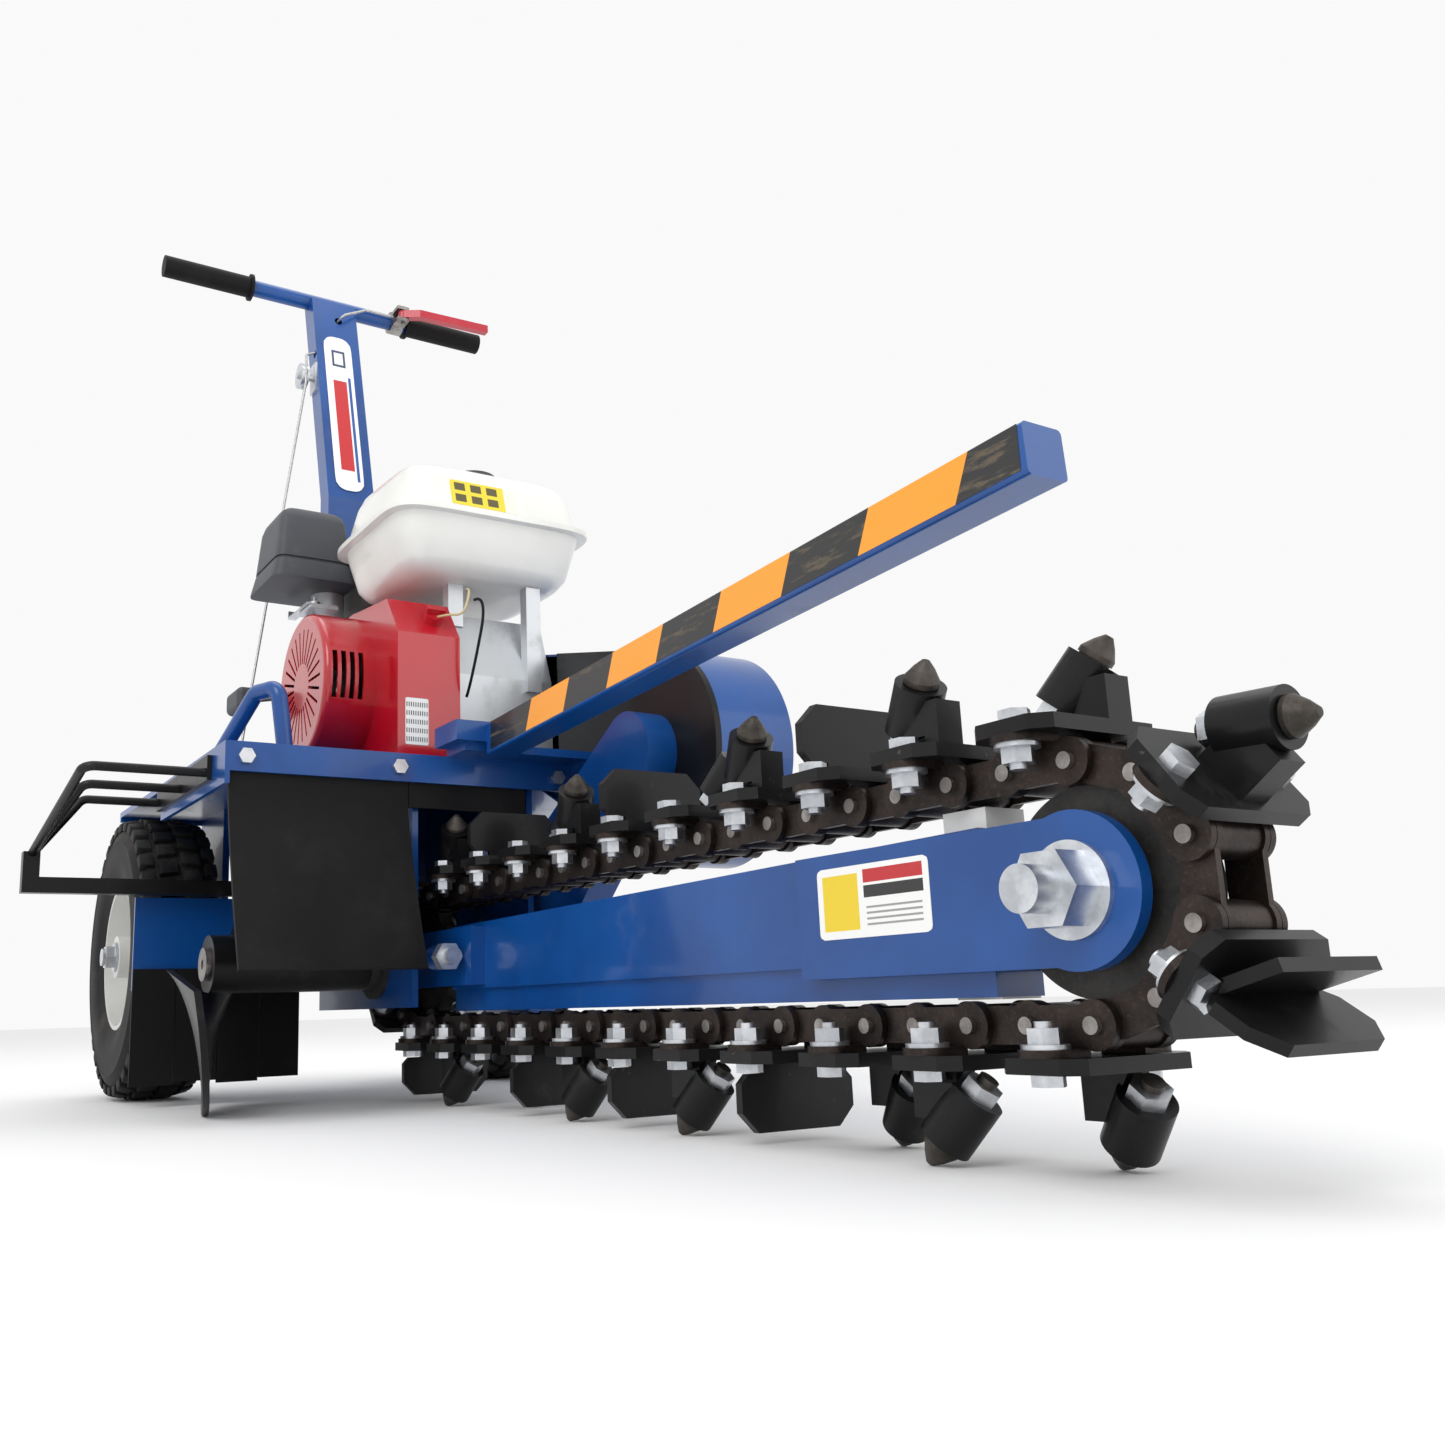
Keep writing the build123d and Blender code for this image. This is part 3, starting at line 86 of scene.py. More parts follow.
class Finish:  # a material and the nodes that are added to it
    def __init__(self, name, rough, metal=0.0, coat=0.0, shine=0.5):
        self.material = bpy.data.materials.new(name)
        self.material.use_nodes = True
        self.tree = self.material.node_tree
        self.shader = self.tree.nodes["Principled BSDF"]
        self.set("Roughness", rough)
        self.set("Metallic", metal)
        self.set("Coat Weight", coat)
        self.set("Coat Roughness", 0.08)
        self.set("Specular IOR Level", shine)
        self.place = self.node("TexCoord", out="Object")

    def node(self, kind, values=None, out=0, **settings):
        made = self.tree.nodes.new("ShaderNode" + kind)
        for key, value in settings.items():
            setattr(made, key, value)
        for key, value in (values or {}).items():
            if isinstance(value, Wire):
                self.tree.links.new(value.socket, made.inputs[key])
            else:
                made.inputs[key].default_value = value
        return Wire(self, made.outputs[out])

    def set(self, name, value):
        if isinstance(value, Wire):
            self.tree.links.new(value.socket, self.shader.inputs[name])
        else:
            self.shader.inputs[name].default_value = value

    def noise(self, scale, detail=4, rough=0.55, vector=None):
        return self.node("TexNoise", {"Vector": vector or self.place, "Scale": scale, "Detail": detail,
                                      "Roughness": rough}, out="Fac")

    def mask(self, value, low, high):
        return self.node("MapRange", {"Value": value, "From Min": low, "From Max": high},
                         interpolation_type="SMOOTHSTEP")

    def blend(self, factor, first, second):
        return self.node("Mix", {0: factor, 6: first, 7: second}, out=2, data_type="RGBA")

    def axes(self):
        return [self.node("SeparateXYZ", {0: self.place}, out=axis) for axis in "XYZ"]

    def bump(self, height, strength, distance=0.001):
        self.set("Normal", self.node("Bump", {"Height": height, "Strength": strength, "Distance": distance}))


def rgb(red, green, blue):
    return (red, green, blue, 1.0)


def within(value, low, high):
    return (value > low) * (value < high)


def paintedSteel(name, colour, dark, rough, coat, chips, shine=0.5):
    finish = Finish(name, rough, coat=coat, shine=shine)
    cloud = finish.noise(7, 5)
    speck = finish.noise(90, 6, 0.7)
    dust = finish.mask(finish.noise(16, 8, 0.68), 0.56, 0.8)
    tone = finish.blend(finish.mask(cloud, 0.35, 0.7), colour, dark)
    tone = finish.blend(dust * 0.1, tone, rgb(0.3, 0.27, 0.23))
    chip = finish.mask(speck, 1 - chips, 1.02 - chips) * finish.mask(cloud, 0.5, 0.62)
    tone = finish.blend(chip, tone, rgb(0.10, 0.08, 0.07))
    finish.set("Base Color", tone)
    finish.set("Roughness", rough + dust * 0.25 + chip * 0.3)
    finish.bump(finish.noise(420, 2) * 0.5 + speck * 0.4, 0.12, 0.0006)
    return finish.material


def steel(name, colour, dark, rough, metal, scale, wear):
    finish = Finish(name, rough, metal=metal)
    cloud = finish.noise(scale, 7, 0.65)
    fine = finish.noise(scale * 14, 5, 0.7)
    tone = finish.blend(finish.mask(cloud, 0.36, 0.66), dark, colour)
    tone = finish.blend(finish.mask(fine, 0.5, 0.75) * wear, tone, rgb(0.20, 0.11, 0.06))
    finish.set("Base Color", tone)
    finish.set("Roughness", rough + cloud * 0.24 - 0.12 + fine * 0.1)
    finish.bump(cloud * 0.6 + fine * 0.6, 0.35, 0.0008)
    return finish.material


def plastic(name, colour, rough, coat, grain, dusty):
    finish = Finish(name, rough, coat=coat)
    cloud = finish.noise(5, 4)
    dust = finish.mask(finish.noise(26, 7, 0.7), 0.5, 0.85) * dusty
    shade = tuple(0.86 * c for c in colour[:3]) + (1.0,)
    tone = finish.blend(finish.mask(cloud, 0.35, 0.7), colour, shade)
    finish.set("Base Color", finish.blend(dust, tone, rgb(0.36, 0.32, 0.27)))
    finish.set("Roughness", rough + dust * 0.4 + cloud * 0.06)
    finish.bump(finish.noise(grain, 3), 0.1, 0.0005)
    return finish.material


def castAlloy():
    finish = Finish("castAlloy", 0.42, metal=0.75)
    grain = finish.noise(520, 3, 0.6)
    stain = finish.mask(finish.noise(14, 7, 0.7), 0.5, 0.78)
    finish.set("Base Color", finish.blend(stain * 0.55, rgb(0.62, 0.64, 0.66), rgb(0.30, 0.29, 0.27)))
    finish.set("Roughness", 0.38 + stain * 0.25)
    finish.bump(grain + finish.noise(60, 3) * 0.6, 0.3, 0.0008)
    return finish.material


def rubber(name, colour, dusty, scale):
    finish = Finish(name, 0.72, shine=0.18)
    cloud = finish.noise(scale, 7, 0.68)
    dust = finish.mask(cloud, 0.45, 0.78) * dusty
    finish.set("Base Color", finish.blend(dust, colour, rgb(0.21, 0.18, 0.15)))
    finish.set("Roughness", 0.55 + dust * 0.3 + cloud * 0.12)
    finish.bump(finish.noise(scale * 22, 4, 0.6) * 0.6 + cloud * 0.4, 0.25, 0.0007)
    return finish.material


stripe = {"bands": ((0.0045, 0.092), (0.183, 0.276), (0.371, 0.469), (0.565, 0.668)), "slant": 0.45,
          "level": 0.44}


def stripeFinish():
    finish = Finish("warningStripes", 0.45, coat=0.3)
    x, y, z = finish.axes()
    along = x - (z - stripe["level"]) * stripe["slant"]
    band = within(along, *stripe["bands"][0])
    for low, high in stripe["bands"][1:]:
        band = band + within(along, low, high)
    grainwise = finish.node("Mapping", {"Vector": finish.place, "Scale": (0.35, 1, 2.4)})
    streak = finish.noise(34, 9, 0.78, grainwise)
    worn = finish.mask(streak, 0.54, 0.62)
    black = finish.blend(worn * 0.6, rgb(0.008, 0.008, 0.008), rgb(0.16, 0.12, 0.07))
    bright = finish.blend(finish.mask(streak, 0.62, 0.72) * 0.5, rgb(0.92, 0.33, 0.012), rgb(0.62, 0.2, 0.02))
    finish.set("Base Color", finish.blend(band, black, bright))
    finish.set("Roughness", 0.4 + worn * 0.3)
    finish.bump(streak, 0.15, 0.0004)
    return finish.material


finishes = {
    "blue_paint": paintedSteel("bluePaint", rgb(0.003, 0.072, 0.30), rgb(0.002, 0.052, 0.23),
                               0.3, 0.35, 0.3, 0.4),
    "black_paint": paintedSteel("blackPaint", rgb(0.004, 0.004, 0.0045), rgb(0.009, 0.009, 0.0095),
                                0.36, 0.06, 0.34, 0.22),
    "red_cover": plastic("redCover", rgb(0.50, 0.002, 0.012), 0.2, 0.7, 300, 0.04),
    "white_tank": plastic("whiteTank", rgb(0.84, 0.84, 0.80), 0.26, 0.5, 200, 0.03),
    "dark_plastic": plastic("darkPlastic", rgb(0.05, 0.055, 0.065), 0.5, 0.0, 500, 0.12),
    "black_rubber": rubber("blackRubber", rgb(0.007, 0.007, 0.0075), 0.06, 6),
    "tyre_rubber": rubber("tyreRubber", rgb(0.008, 0.008, 0.0085), 0.22, 14),
    "rim_paint": paintedSteel("rimPaint", rgb(0.66, 0.66, 0.64), rgb(0.55, 0.55, 0.53), 0.4, 0.2, 0.33),
    "cast_alloy": castAlloy(),
    "chain_steel": steel("chainSteel", rgb(0.045, 0.034, 0.03), rgb(0.02, 0.016, 0.015), 0.36, 0.75, 22, 0.25),
    "worn_steel": steel("wornSteel", rgb(0.10, 0.09, 0.08), rgb(0.04, 0.036, 0.032), 0.45, 0.75, 30, 0.3),
    "zinc": steel("zinc", rgb(0.72, 0.74, 0.77), rgb(0.50, 0.52, 0.55), 0.28, 0.95, 40, 0.02),
    "bare_steel": steel("bareSteel", rgb(0.42, 0.40, 0.38), rgb(0.22, 0.20, 0.19), 0.35, 0.95, 36, 0.15),
    "iron": steel("iron", rgb(0.06, 0.058, 0.056), rgb(0.03, 0.03, 0.03), 0.5, 0.6, 26, 0.25),
    "red_grip": plastic("redGrip", rgb(0.50, 0.01, 0.03), 0.3, 0.5, 260, 0.1),
    "muffler_steel": steel("mufflerSteel", rgb(0.12, 0.115, 0.11), rgb(0.06, 0.058, 0.056), 0.55, 0.5, 18, 0.2),
    "wire": steel("wireRope", rgb(0.60, 0.60, 0.60), rgb(0.40, 0.40, 0.40), 0.35, 0.9, 300, 0.05),
}
slotOf = {part["node"]: part["material_slot"] for part in frame["record"]["subparts"]}
for name, node in frame["nodes"].items():
    node.data.materials.clear()
    node.data.materials.append(finishes[slotOf[name]])
padWhite = plastic("padWhite", rgb(0.78, 0.78, 0.76), 0.45, 0.1, 300, 0.1)
frame["nodes"]["wear_pads"].data.materials[0] = padWhite
print("finishes made")


def clearSelection():
    bpy.ops.object.select_all(action="DESELECT")


def editMesh(piece):
    clearSelection()
    piece.select_set(True)
    bpy.context.view_layer.objects.active = piece
    bpy.ops.object.mode_set(mode="EDIT")
    bpy.ops.mesh.select_all(action="SELECT")


def objectMode():
    bpy.ops.object.mode_set(mode="OBJECT")


def applyModifier(piece, kind, **settings):
    clearSelection()
    piece.select_set(True)
    bpy.context.view_layer.objects.active = piece
    modifier = piece.modifiers.new(kind.lower(), kind)
    for key, value in settings.items():
        setattr(modifier, key, value)
    bpy.ops.object.modifier_apply(modifier=modifier.name)


def roundEdges(piece, width, segments, angle=30):
    applyModifier(piece, "BEVEL", width=width, segments=segments, limit_method="ANGLE",
                  angle_limit=radians(angle))


def settle(piece, material, body, replaces=(), angle=35):  # the last step of every piece
    clearSelection()
    piece.select_set(True)
    bpy.context.view_layer.objects.active = piece
    bpy.ops.object.transform_apply(location=True, rotation=True, scale=True)
    bpy.ops.object.shade_smooth_by_angle(angle=radians(angle))
    piece.data.materials.clear()
    piece.data.materials.append(material)
    if replaces:
        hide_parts(*replaces)
    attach(piece, body)
    return piece


def ringPoint(ring, turn):
    # a ring is (height, half width, half depth, squareness, centre u, centre v)
    height, halfU, halfV, square, midU, midV = ring
    power = 2 / square
    c, s = cos(turn), sin(turn)
    u = midU + halfU * (abs(c) ** power) * (1 if c > 0 else -1)
    v = midV + halfV * (abs(s) ** power) * (1 if s > 0 else -1)
    return u, v, height


def tower(name, rings, around, place, looped=False):
    # a grid wrapped round into a stack of rings
    clearSelection()
    bpy.ops.mesh.primitive_grid_add(x_subdivisions=around, y_subdivisions=len(rings) - 1, size=2)
    piece = bpy.context.active_object
    piece.name = name
    for vertex in piece.data.vertices:
        turn = 2 * pi * round((vertex.co.x + 1) / 2 * around) / around
        level = round((vertex.co.y + 1) / 2 * (len(rings) - 1))
        vertex.co = place(*ringPoint(rings[level], turn + pi / around))
    editMesh(piece)
    bpy.ops.mesh.remove_doubles(threshold=1e-6)
    if not looped:
        bpy.ops.mesh.select_all(action="DESELECT")
        bpy.ops.mesh.select_non_manifold()
        bpy.ops.mesh.fill_holes(sides=0)
        bpy.ops.mesh.select_all(action="SELECT")
    bpy.ops.mesh.normals_make_consistent(inside=False)
    objectMode()
    return piece


def upright(u, v, height):
    return Vector((u, v, height))


def acrossY(u, v, height):
    return Vector((u, height, v))


def joinPieces(name, parts):
    clearSelection()
    for part in parts:
        part.select_set(True)
    bpy.context.view_layer.objects.active = parts[0]
    bpy.ops.object.join()
    parts[0].name = name
    return parts[0]


tyreShape = {
    "crown": 0.1965, "halfWidth": 0.0585, "bead": 0.047, "beadRadius": 0.1042,
    "lugs": 36, "lugLong": 0.0245, "lugHigh": 0.0062, "lugEdge": 0.0012, "shoulderDrop": 0.0085,
    "rows": ((-0.043, 0.019, 0.24), (-0.0155, 0.027, -0.12), (0.0155, 0.027, 0.12), (0.043, 0.019, -0.24)),
    "inner": ((-0.04, 0.006), (-0.044, 0.05), (0.044, 0.05), (0.04, 0.006)), "crownWall": 0.012,
}  # a row is its offset from the middle, its lugs' width and their skew


def tyreProfile():
    half, bead = tyreShape["halfWidth"], tyreShape["beadRadius"]
    crown = tyreShape["crown"]
    side = [(tyreShape["bead"], bead), (tyreShape["bead"] + 0.003, bead + 0.008), (half - 0.006, bead + 0.016),
            (half - 0.0045, bead + 0.019), (half - 0.002, bead + 0.03), (half - 0.001, bead + 0.044),
            (half - 0.0025, bead + 0.06), (half - 0.0015, bead + 0.064), (half - 0.008, crown - 0.014),
            (half - 0.018, crown - 0.0045), (half - 0.034, crown - 0.001)]  # from the bead out to the tread
    outer = side + [(0, crown)] + [(-w, r) for w, r in reversed(side)]
    inner = [(w, bead + r) for w, r in tyreShape["inner"]]
    return outer + inner[:2] + [(0, crown - tyreShape["crownWall"])] + inner[2:]


def makeTyre(name, node, body):
    low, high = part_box(node)
    centre = (low + high) / 2
    rings = [(centre.y + w, r, r, 2, centre.x, centre.z) for w, r in tyreProfile()]
    carcass = tower(name, rings + rings[:1], 96, acrossY, looped=True)
    lugs = []
    crown = tyreShape["crown"]
    for row, (offset, wide, skew) in enumerate(tyreShape["rows"]):
        clearSelection()
        bpy.ops.mesh.primitive_cube_add(size=1, location=(0, 0, 0))
        lug = bpy.context.active_object
        lug.scale = (tyreShape["lugLong"], wide, tyreShape["lugHigh"] * 2)
        bpy.ops.object.transform_apply(location=False, rotation=False, scale=True)
        for vertex in lug.data.vertices:
            vertex.co.x += skew * vertex.co.y
            if vertex.co.z > 0:  # the top of a lug is smaller than its root
                vertex.co.x *= 0.86
                vertex.co.y *= 0.92
        roundEdges(lug, tyreShape["lugEdge"], 2)
        outerRow = row in (0, len(tyreShape["rows"]) - 1)
        drop = tyreShape["shoulderDrop"] if outerRow else 0.0
        turn = (row % 2) * pi / tyreShape["lugs"]
        for vertex in lug.data.vertices:
            edge = abs(vertex.co.y + offset) / tyreShape["halfWidth"]
            up = crown - drop * edge ** 2 + vertex.co.z
            angle = turn + vertex.co.x / crown
            vertex.co = (centre.x + up * sin(angle), centre.y + offset + vertex.co.y,
                         centre.z + up * cos(angle))
        editMesh(lug)
        bpy.ops.mesh.spin(steps=tyreShape["lugs"], dupli=True, angle=2 * pi, center=centre, axis=(0, 1, 0))
        bpy.ops.mesh.select_all(action="SELECT")
        bpy.ops.mesh.remove_doubles(threshold=1e-6)
        bpy.ops.mesh.normals_make_consistent(inside=False)
        objectMode()
        lugs.append(lug)
    tyre = joinPieces(name, [carcass] + lugs)
    settle(tyre, finishes["tyre_rubber"], body, [node])


makeTyre("rightTyre", "right_tyre", "right_wheel")
makeTyre("leftTyre", "left_tyre", "left_wheel")
print("tyres made")


tankShape = {
    "rim": 0.080, "square": 6.5, "fall": 0.016, "around": 128,
    "belly": ((0, 0.062), (0.001, 0.050), (0.006, 0.036), (0.018, 0.026)),
    "seam": ((-0.010, 0.0125), (-0.0045, 0.0115), (-0.004, 0), (0, -0.0002), (0.0035, 0), (0.004, 0.0115),
             (0.012, 0.0122)),
    "crown": ((-0.03, 0.024), (-0.014, 0.031), (-0.005, 0.043), (-0.001, 0.062), (-0.0004, 0.08), (0, 0.11)),
}  # each pair is a height and how far the wall stands in from the box there


def wallRings(stations, start, square, low, high):
    middle = (low + high) / 2
    halfU, halfV = (high.x - low.x) / 2, (high.y - low.y) / 2
    return [(start + height, halfU - inset, halfV - inset, square, middle.x, middle.y)
            for height, inset in stations]


tankLow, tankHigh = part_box("fuel_tank")
rim = tankLow.z + tankShape["rim"]
tankRings = []
for part, start in (("belly", tankLow.z), ("seam", rim), ("crown", tankHigh.z)):
    tankRings += wallRings(tankShape[part], start, tankShape["square"], tankLow, tankHigh)
tank = tower("fuelTank", tankRings, tankShape["around"], upright)
for vertex in tank.data.vertices:  # the top falls away towards the front
    if vertex.co.z > rim + 0.006:
        share = (vertex.co.z - rim) / (tankHigh.z - rim)
        alongTank = (vertex.co.x - tankLow.x) / (tankHigh.x - tankLow.x)
        vertex.co.z -= share * tankShape["fall"] * alongTank
settle(tank, finishes["white_tank"], "frame", ["fuel_tank"], 50)
print("tank made")


cleanerShape = {
    "around": 96,
    "case": ((0, 0.012), (0.0006, 0), (0.004, 0), (0.030, 0.006), (0.0305, 0.009), (0.034, 0.009),
             (0.0345, 0.0065)),
    "lid": ((-0.020, 0.013), (-0.008, 0.017)), "brow": ((-0.002, 0.024),), "top": ((0, 0.034),),
    "square": {"case": 9, "lid": 9, "brow": 8, "top": 7},
}
low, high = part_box("air_cleaner")
cleanerRings = []
for part, square in cleanerShape["square"].items():
    start = low.z if part == "case" else high.z
    cleanerRings += wallRings(cleanerShape[part], start, square, low, high)
cleaner = tower("airCleaner", cleanerRings, cleanerShape["around"], upright)
settle(cleaner, finishes["dark_plastic"], "frame", ["air_cleaner"], 50)
print("air cleaner made")


flapShape = {"rows": 24, "columns": 18, "thick": 0.006, "bulge": 0.062, "hang": 0.22, "ripple": 0.004,
             "wide": 0.219, "gap": 0.0015, "short": 0.058, "lift": 0.001}


def makeFlap(name, sizes, bulge):
    clearSelection()
    bpy.ops.mesh.primitive_grid_add(x_subdivisions=flapShape["columns"], y_subdivisions=flapShape["rows"],
                                    size=2)
    piece = bpy.context.active_object
    piece.name = name
    yLow, yHigh, zLow, zHigh, x = sizes
    for vertex in piece.data.vertices:
        across = (vertex.co.x + 1) / 2
        down = (1 - vertex.co.y) / 2
        y = yLow + across * (yHigh - yLow)
        z = zHigh + down * (zLow - zHigh)
        kick = max(0.0, (down - flapShape["hang"]) / (1 - flapShape["hang"])) ** 1.25
        ripple = flapShape["ripple"] * sin(across * 7 + 1) * down
        vertex.co = (x + bulge * kick + ripple * (1 - abs(2 * across - 1)), y, z)
    applyModifier(piece, "SOLIDIFY", thickness=flapShape["thick"], offset=0)
    return piece


low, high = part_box("rubber_flaps")
flapX = low.x + flapShape["thick"] / 2
split = low.y + flapShape["wide"]
flap = makeFlap("frontFlap", (low.y, split, low.z + flapShape["lift"], high.z, flapX), flapShape["bulge"])
short = makeFlap("centreFlap", (split + flapShape["gap"], high.y, high.z - flapShape["short"], high.z, flapX),
                 0.0)
flaps = joinPieces("rubberFlaps", [flap, short])
settle(flaps, finishes["black_rubber"], "frame", ["rubber_flaps"], 60)
print("flaps made")


sticker = {"thick": 0.0003, "lift": 0.0002}  # every sticker and tape is this thin
tape = {"start": 0.012, "end": 0.006, "middle": 0.0215, "half": 0.0172, "slope": 0.05066}
low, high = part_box("safety_bar")
tapeEnd = high.x - low.x - tape["end"]
sides = []
for outward, y in ((-1, low.y), (1, high.y)):
    clearSelection()
    bpy.ops.mesh.primitive_grid_add(x_subdivisions=40, y_subdivisions=4, size=2)
    sheet = bpy.context.active_object
    for vertex in sheet.data.vertices:
        x = tape["start"] + (vertex.co.x + 1) / 2 * (tapeEnd - tape["start"])
        z = low.z + tape["middle"] + x * tape["slope"] + vertex.co.y * tape["half"]
        vertex.co = (low.x + x, y + outward * sticker["lift"], z)
    applyModifier(sheet, "SOLIDIFY", thickness=sticker["thick"], offset=0)
    sides.append(sheet)
stripes = joinPieces("barStripes", sides)
settle(stripes, stripeFinish(), "frame")
print("stripes made")


def insideBox(u, v, uLow, uHigh, vLow, vHigh):
    return within(u, uLow, uHigh) * within(v, vLow, vHigh)


def laySticker(name, origin, across, upwards, width, height, corner, material, slot, body):
    # origin is the lower corner, and across and upwards are the two directions along the panel
    clearSelection()
    bpy.ops.mesh.primitive_grid_add(x_subdivisions=24, y_subdivisions=24, size=2)
    piece = bpy.context.active_object
    piece.name = name
    across, upwards = Vector(across).normalized(), Vector(upwards).normalized()
    outward = across.cross(upwards)
    for vertex in piece.data.vertices:
        u, v = vertex.co.x * width / 2, vertex.co.y * height / 2
        overU, overV = abs(u) - (width / 2 - corner), abs(v) - (height / 2 - corner)
        if overU > 0 and overV > 0:  # pull the square corner onto an arc
            reach = max(overU, overV)
            turn = atan2(overV, overU)
            u = (width / 2 - corner + reach * cos(turn)) * (1 if u > 0 else -1)
            v = (height / 2 - corner + reach * sin(turn)) * (1 if v > 0 else -1)
        vertex.co = (Vector(origin) + across * (u + width / 2) + upwards * (v + height / 2)
                     + outward * sticker["lift"])
    applyModifier(piece, "SOLIDIFY", thickness=sticker["thick"], offset=0)
    return settle(piece, material, body)


def stickerFinish(name, paint):
    finish = Finish(name, 0.35, coat=0.35)
    x, y, z = finish.axes()
    grime = finish.mask(finish.noise(60, 7, 0.7), 0.55, 0.85)
    tone = paint(finish, x, y, z)
    finish.set("Base Color", finish.blend(grime * 0.12, tone, rgb(0.35, 0.32, 0.28)))
    finish.set("Roughness", 0.32 + grime * 0.25)
    finish.bump(finish.noise(500, 2), 0.05, 0.0002)
    return finish.material


def paintBoomSticker(finish, x, y, z):
    # a yellow panel at the rear, then red, black and fine grey lines
    u, v = x - boomSticker["rear"], z - boomSticker["low"]
    lines = insideBox(u, v, 0.054, 0.112, 0.006, 0.024) * ((v % 0.0042) < 0.0016)
    panel = insideBox(u, v, 0.006, 0.046, 0.006, 0.048)
    tone = finish.blend(panel, rgb(0.85, 0.85, 0.83), rgb(0.80, 0.58, 0.01))
    tone = finish.blend(insideBox(u, v, 0.052, 0.114, 0.040, 0.050), tone, rgb(0.5, 0.01, 0.015))
    tone = finish.blend(insideBox(u, v, 0.052, 0.114, 0.029, 0.038), tone, rgb(0.012, 0.012, 0.012))
    return finish.blend(lines, tone, rgb(0.3, 0.3, 0.3))


boomSticker = {"rear": 0.520, "low": 0.158, "size": (0.120, 0.054), "corner": 0.005}
laySticker("boomSticker", (boomSticker["rear"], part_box("boom_beam")[0].y, boomSticker["low"]),
           (1, 0, 0), (0, 0, 1), *boomSticker["size"], boomSticker["corner"],
           stickerFinish("boomStickerPaint", paintBoomSticker), "black_paint", "boom")


def paintTankSticker(finish, x, y, z):
    # six dark squares on yellow, with a cream edge
    u, v = y - tankSticker["start"], z - tankSticker["low"]
    boxes = ((u - 0.006) % 0.024 < 0.016) * ((v - 0.005) % 0.018 < 0.012)
    boxes = boxes * insideBox(u, v, 0.005, 0.075, 0.004, 0.036)
    tone = finish.blend(boxes, rgb(0.80, 0.66, 0.03), rgb(0.10, 0.08, 0.02))
    return finish.blend(u > 0.080, tone, rgb(0.83, 0.80, 0.70))


tankSticker = {"start": 0.050, "low": 0.7799, "size": (0.098, 0.040), "corner": 0.003}
wall = []  # two points up the tank's front wall, with the fall of its top
for (height, inset), start in ((tankShape["seam"][-1], rim), (tankShape["crown"][0], tankHigh.z)):
    share = (start + height - rim) / (tankHigh.z - rim)
    wall.append(Vector((tankHigh.x - inset, 0, start + height - share * tankShape["fall"])))
laySticker("tankSticker", (wall[0].x, tankSticker["start"], wall[0].z), (0, 1, 0), wall[1] - wall[0],
           *tankSticker["size"], tankSticker["corner"],
           stickerFinish("tankStickerPaint", paintTankSticker), "white_tank", "frame")


def paintPostSticker(finish, x, y, z):
    # a small frame at the top, a red bar and a thin blue line
    u, v = y - postSticker["middle"], z - postSticker["low"]
    ring = insideBox(u, v, -0.012, 0.012, 0.255, 0.29) * (1 - insideBox(u, v, -0.008, 0.008, 0.260, 0.285))
    redBar = insideBox(u, v, -0.013, 0.011, 0.04, 0.225)
    tone = finish.blend(redBar, rgb(0.86, 0.87, 0.87), rgb(0.55, 0.01, 0.015))
    tone = finish.blend(insideBox(u, v, 0.014, 0.019, 0.02, 0.235), tone, rgb(0.01, 0.08, 0.32))
    return finish.blend(ring, tone, rgb(0.03, 0.05, 0.12))


postSticker = {"middle": 0.069, "low": 0.967, "size": (0.050, 0.3295), "corner": 0.020,
               "rake": radians(14.5), "deep": 0.040}
low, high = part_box("handle_post")
rake = postSticker["rake"]
faceX = low.x + postSticker["deep"] / cos(rake) + (high.z - postSticker["low"]) * sin(rake) / cos(rake)
laySticker("postSticker", (faceX, postSticker["middle"] - postSticker["size"][0] / 2, postSticker["low"]),
           (0, 1, 0), (-sin(rake), 0, cos(rake)), *postSticker["size"], postSticker["corner"],
           stickerFinish("postStickerPaint", paintPostSticker), "blue_paint", "frame")


def paintShroudSticker(finish, x, y, z):
    # rows of plain upright bars
    v = z - shroudSticker["low"]
    rows = ((v - 0.004) % 0.0115 < 0.0062) * (((y * 1000) % 3.1) < 1.5)
    return finish.blend(rows, rgb(0.84, 0.84, 0.83), rgb(0.05, 0.05, 0.05))


shroudSticker = {"start": -0.0075, "low": 0.450, "size": (0.032, 0.062), "corner": 0.002}
laySticker("shroudSticker", (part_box("fan_cover")[1].x, shroudSticker["start"], shroudSticker["low"]),
           (0, 1, 0), (0, 0, 1), *shroudSticker["size"], shroudSticker["corner"],
           stickerFinish("shroudStickerPaint", paintShroudSticker), "red_cover", "frame")
print("stickers laid")


def runWire(name, points, thick, material, body):
    curve = bpy.data.curves.new(name, "CURVE")
    curve.dimensions = "3D"
    line = curve.splines.new("NURBS")
    line.points.add(len(points) - 1)
    for point, place in zip(line.points, points):
        point.co = (*place, 1)
    line.order_u = 3
    line.use_endpoint_u = True
    curve.bevel_depth = thick / 2
    curve.bevel_resolution = 3
    curve.use_fill_caps = True
    source = bpy.data.objects.new(name, curve)
    bpy.context.scene.collection.objects.link(source)
    clearSelection()
    source.select_set(True)
    bpy.context.view_layer.objects.active = source
    bpy.ops.object.convert(target="MESH")
    return settle(bpy.context.active_object, material, body, angle=60)


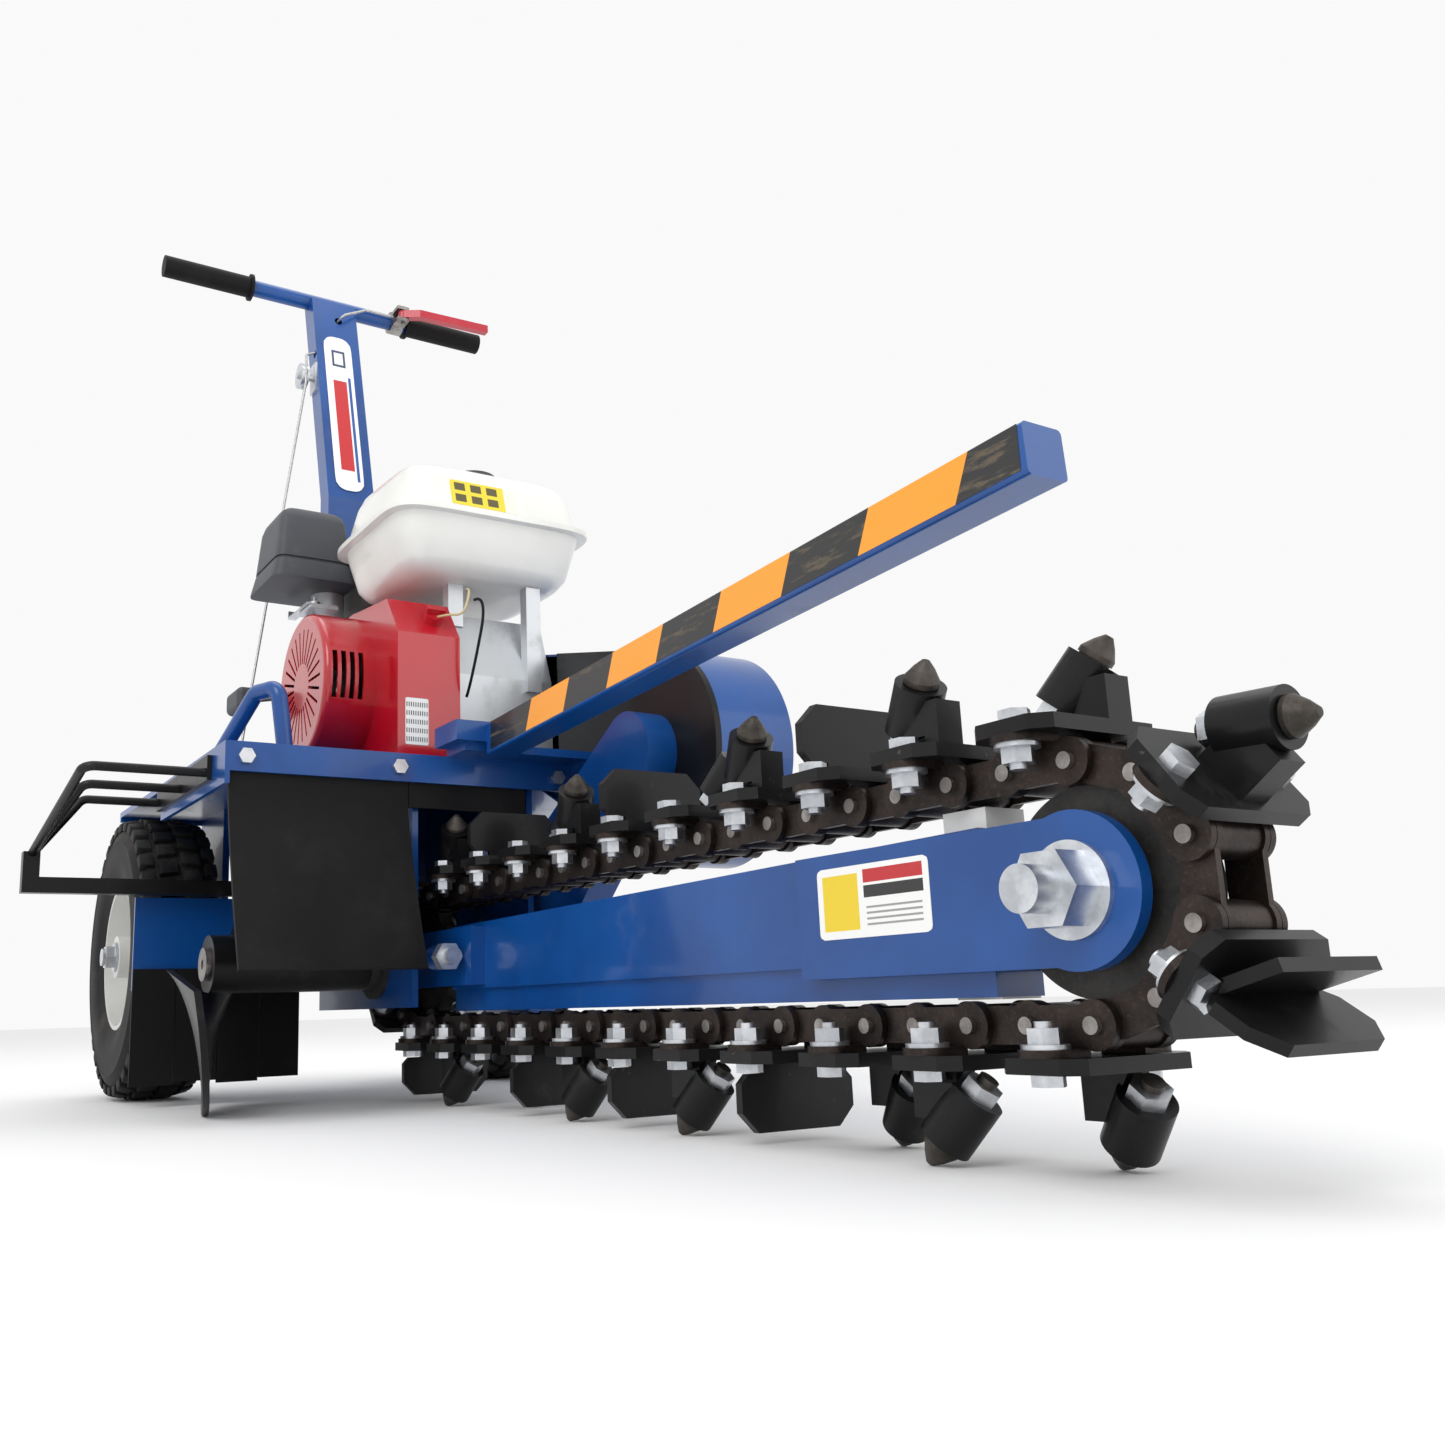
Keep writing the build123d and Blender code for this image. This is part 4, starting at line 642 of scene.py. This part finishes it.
wiring = {"cream": 0.0032, "black": 0.004}
switchLow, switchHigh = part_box("engine_switch")
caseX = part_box("crankcase")[1].x
switchSide = Vector((switchHigh.x, (switchLow.y + switchHigh.y) / 2, switchLow.z + 0.012))
creamPaint = plastic("creamWire", rgb(0.62, 0.52, 0.27), 0.4, 0.2, 200, 0.05)
runWire("creamWire", [(caseX - 0.002, 0.078, 0.668), (caseX + 0.016, 0.074, 0.664),
                      (caseX + 0.030, 0.066, 0.645), (caseX + 0.026, 0.060, 0.622),
                      switchSide + Vector((0.012, 0.010, 0)), switchSide - Vector((0.006, -0.002, 0))],
        wiring["cream"], creamPaint, "frame")
runWire("blackWire", [(caseX - 0.002, 0.090, 0.655), (caseX + 0.022, 0.088, 0.652),
                      (caseX + 0.036, 0.086, 0.625), (caseX + 0.026, 0.080, 0.575),
                      (caseX + 0.010, 0.076, 0.530), (caseX - 0.004, 0.078, 0.520)],
        wiring["black"], finishes["black_rubber"], "frame")
print("wires run")


weld = {"radius": 0.0032, "step": 0.0042, "dip": 0.16, "waver": 0.1, "end": 0.4,
        "cheekRear": 0.4935, "sideY": 0.0415, "low": 0.131, "high": 0.221}
beadFinish = paintedSteel("beadPaint", rgb(0.003, 0.072, 0.30), rgb(0.002, 0.045, 0.2), 0.28, 0.4, 0.36)


def layBead(name, start, end, body):
    start, end = Vector(start), Vector(end)
    count = max(3, int((end - start).length / weld["step"]))
    along = (end - start) / count
    spin = Vector((0, 0, 1)).rotation_difference(along).to_matrix()
    rings = []
    for index in range(2 * count + 1):
        swell = weld["radius"] * (1 - weld["dip"] + weld["dip"] * (index % 2))
        swell *= 1 - weld["waver"] + weld["waver"] * sin(index * 1.7)
        if index in (0, 2 * count):
            swell *= weld["end"]
        rings.append((index * along.length / 2, swell, swell, 2, 0, 0))
    bead = tower(name, rings, 10, lambda u, v, height: start + spin @ Vector((u, v, height)))
    return settle(bead, beadFinish, body, angle=80)


low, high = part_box("boom_beam")
middleY = (low.y + high.y) / 2
for side, label in ((-1, "right"), (1, "left")):
    y = middleY + side * (middleY - weld["sideY"])
    layBead(label + "CheekBead", (weld["cheekRear"], y, weld["low"]), (weld["cheekRear"], y, weld["high"]),
            "boom")
print("beads laid")


studio = {
    "floor": 40, "floorGrey": 0.86, "sky": 0.95, "aim": (0, 0, 0.4),
    "lamps": {"key": ((2.2, -3.2, 3.4), 2.4, 70), "fill": ((3.6, 2.6, 1.6), 3.0, 24),
              "top": ((-0.6, 0.4, 4.2), 3.0, 36)},  # each lamp's place, size and power
    "camera": (1.307361, -0.631762, 0.115264), "turn": (101.6361, 1.6836, 59.3730), "lens": 32.39,
    "shift": (0.0828, 0.0096), "nearest": 0.05,
}
clearSelection()
bpy.ops.mesh.primitive_plane_add(size=studio["floor"], location=(0, 0, 0))
floorPlane = bpy.context.active_object
floorPlane.name = "floorPlane"
floorFinish = Finish("floorFinish", 0.9)
floorFinish.set("Base Color", rgb(*[studio["floorGrey"]] * 3))
floorPlane.data.materials.append(floorFinish.material)

world = bpy.data.worlds.new("studio")
world.use_nodes = True
world.node_tree.nodes["Background"].inputs["Color"].default_value = rgb(1, 1, 1)
world.node_tree.nodes["Background"].inputs["Strength"].default_value = studio["sky"]
bpy.context.scene.world = world

for name, (spot, size, power) in studio["lamps"].items():
    clearSelection()
    bpy.ops.object.light_add(type="AREA", location=spot)
    lamp = bpy.context.active_object
    lamp.name = name
    lamp.data.size = size
    lamp.data.energy = power
    lamp.rotation_euler = (Vector(studio["aim"]) - Vector(spot)).to_track_quat("-Z", "Y").to_euler()

clearSelection()
bpy.ops.object.camera_add(location=studio["camera"], rotation=[radians(turn) for turn in studio["turn"]])
camera = bpy.context.active_object
camera.name = "camera"
camera.data.sensor_width = 36
camera.data.lens = studio["lens"]
camera.data.shift_x, camera.data.shift_y = studio["shift"]
camera.data.clip_start = studio["nearest"]
bpy.context.scene.camera = camera
bpy.context.scene.view_settings.view_transform = "Standard"
print("stage set")
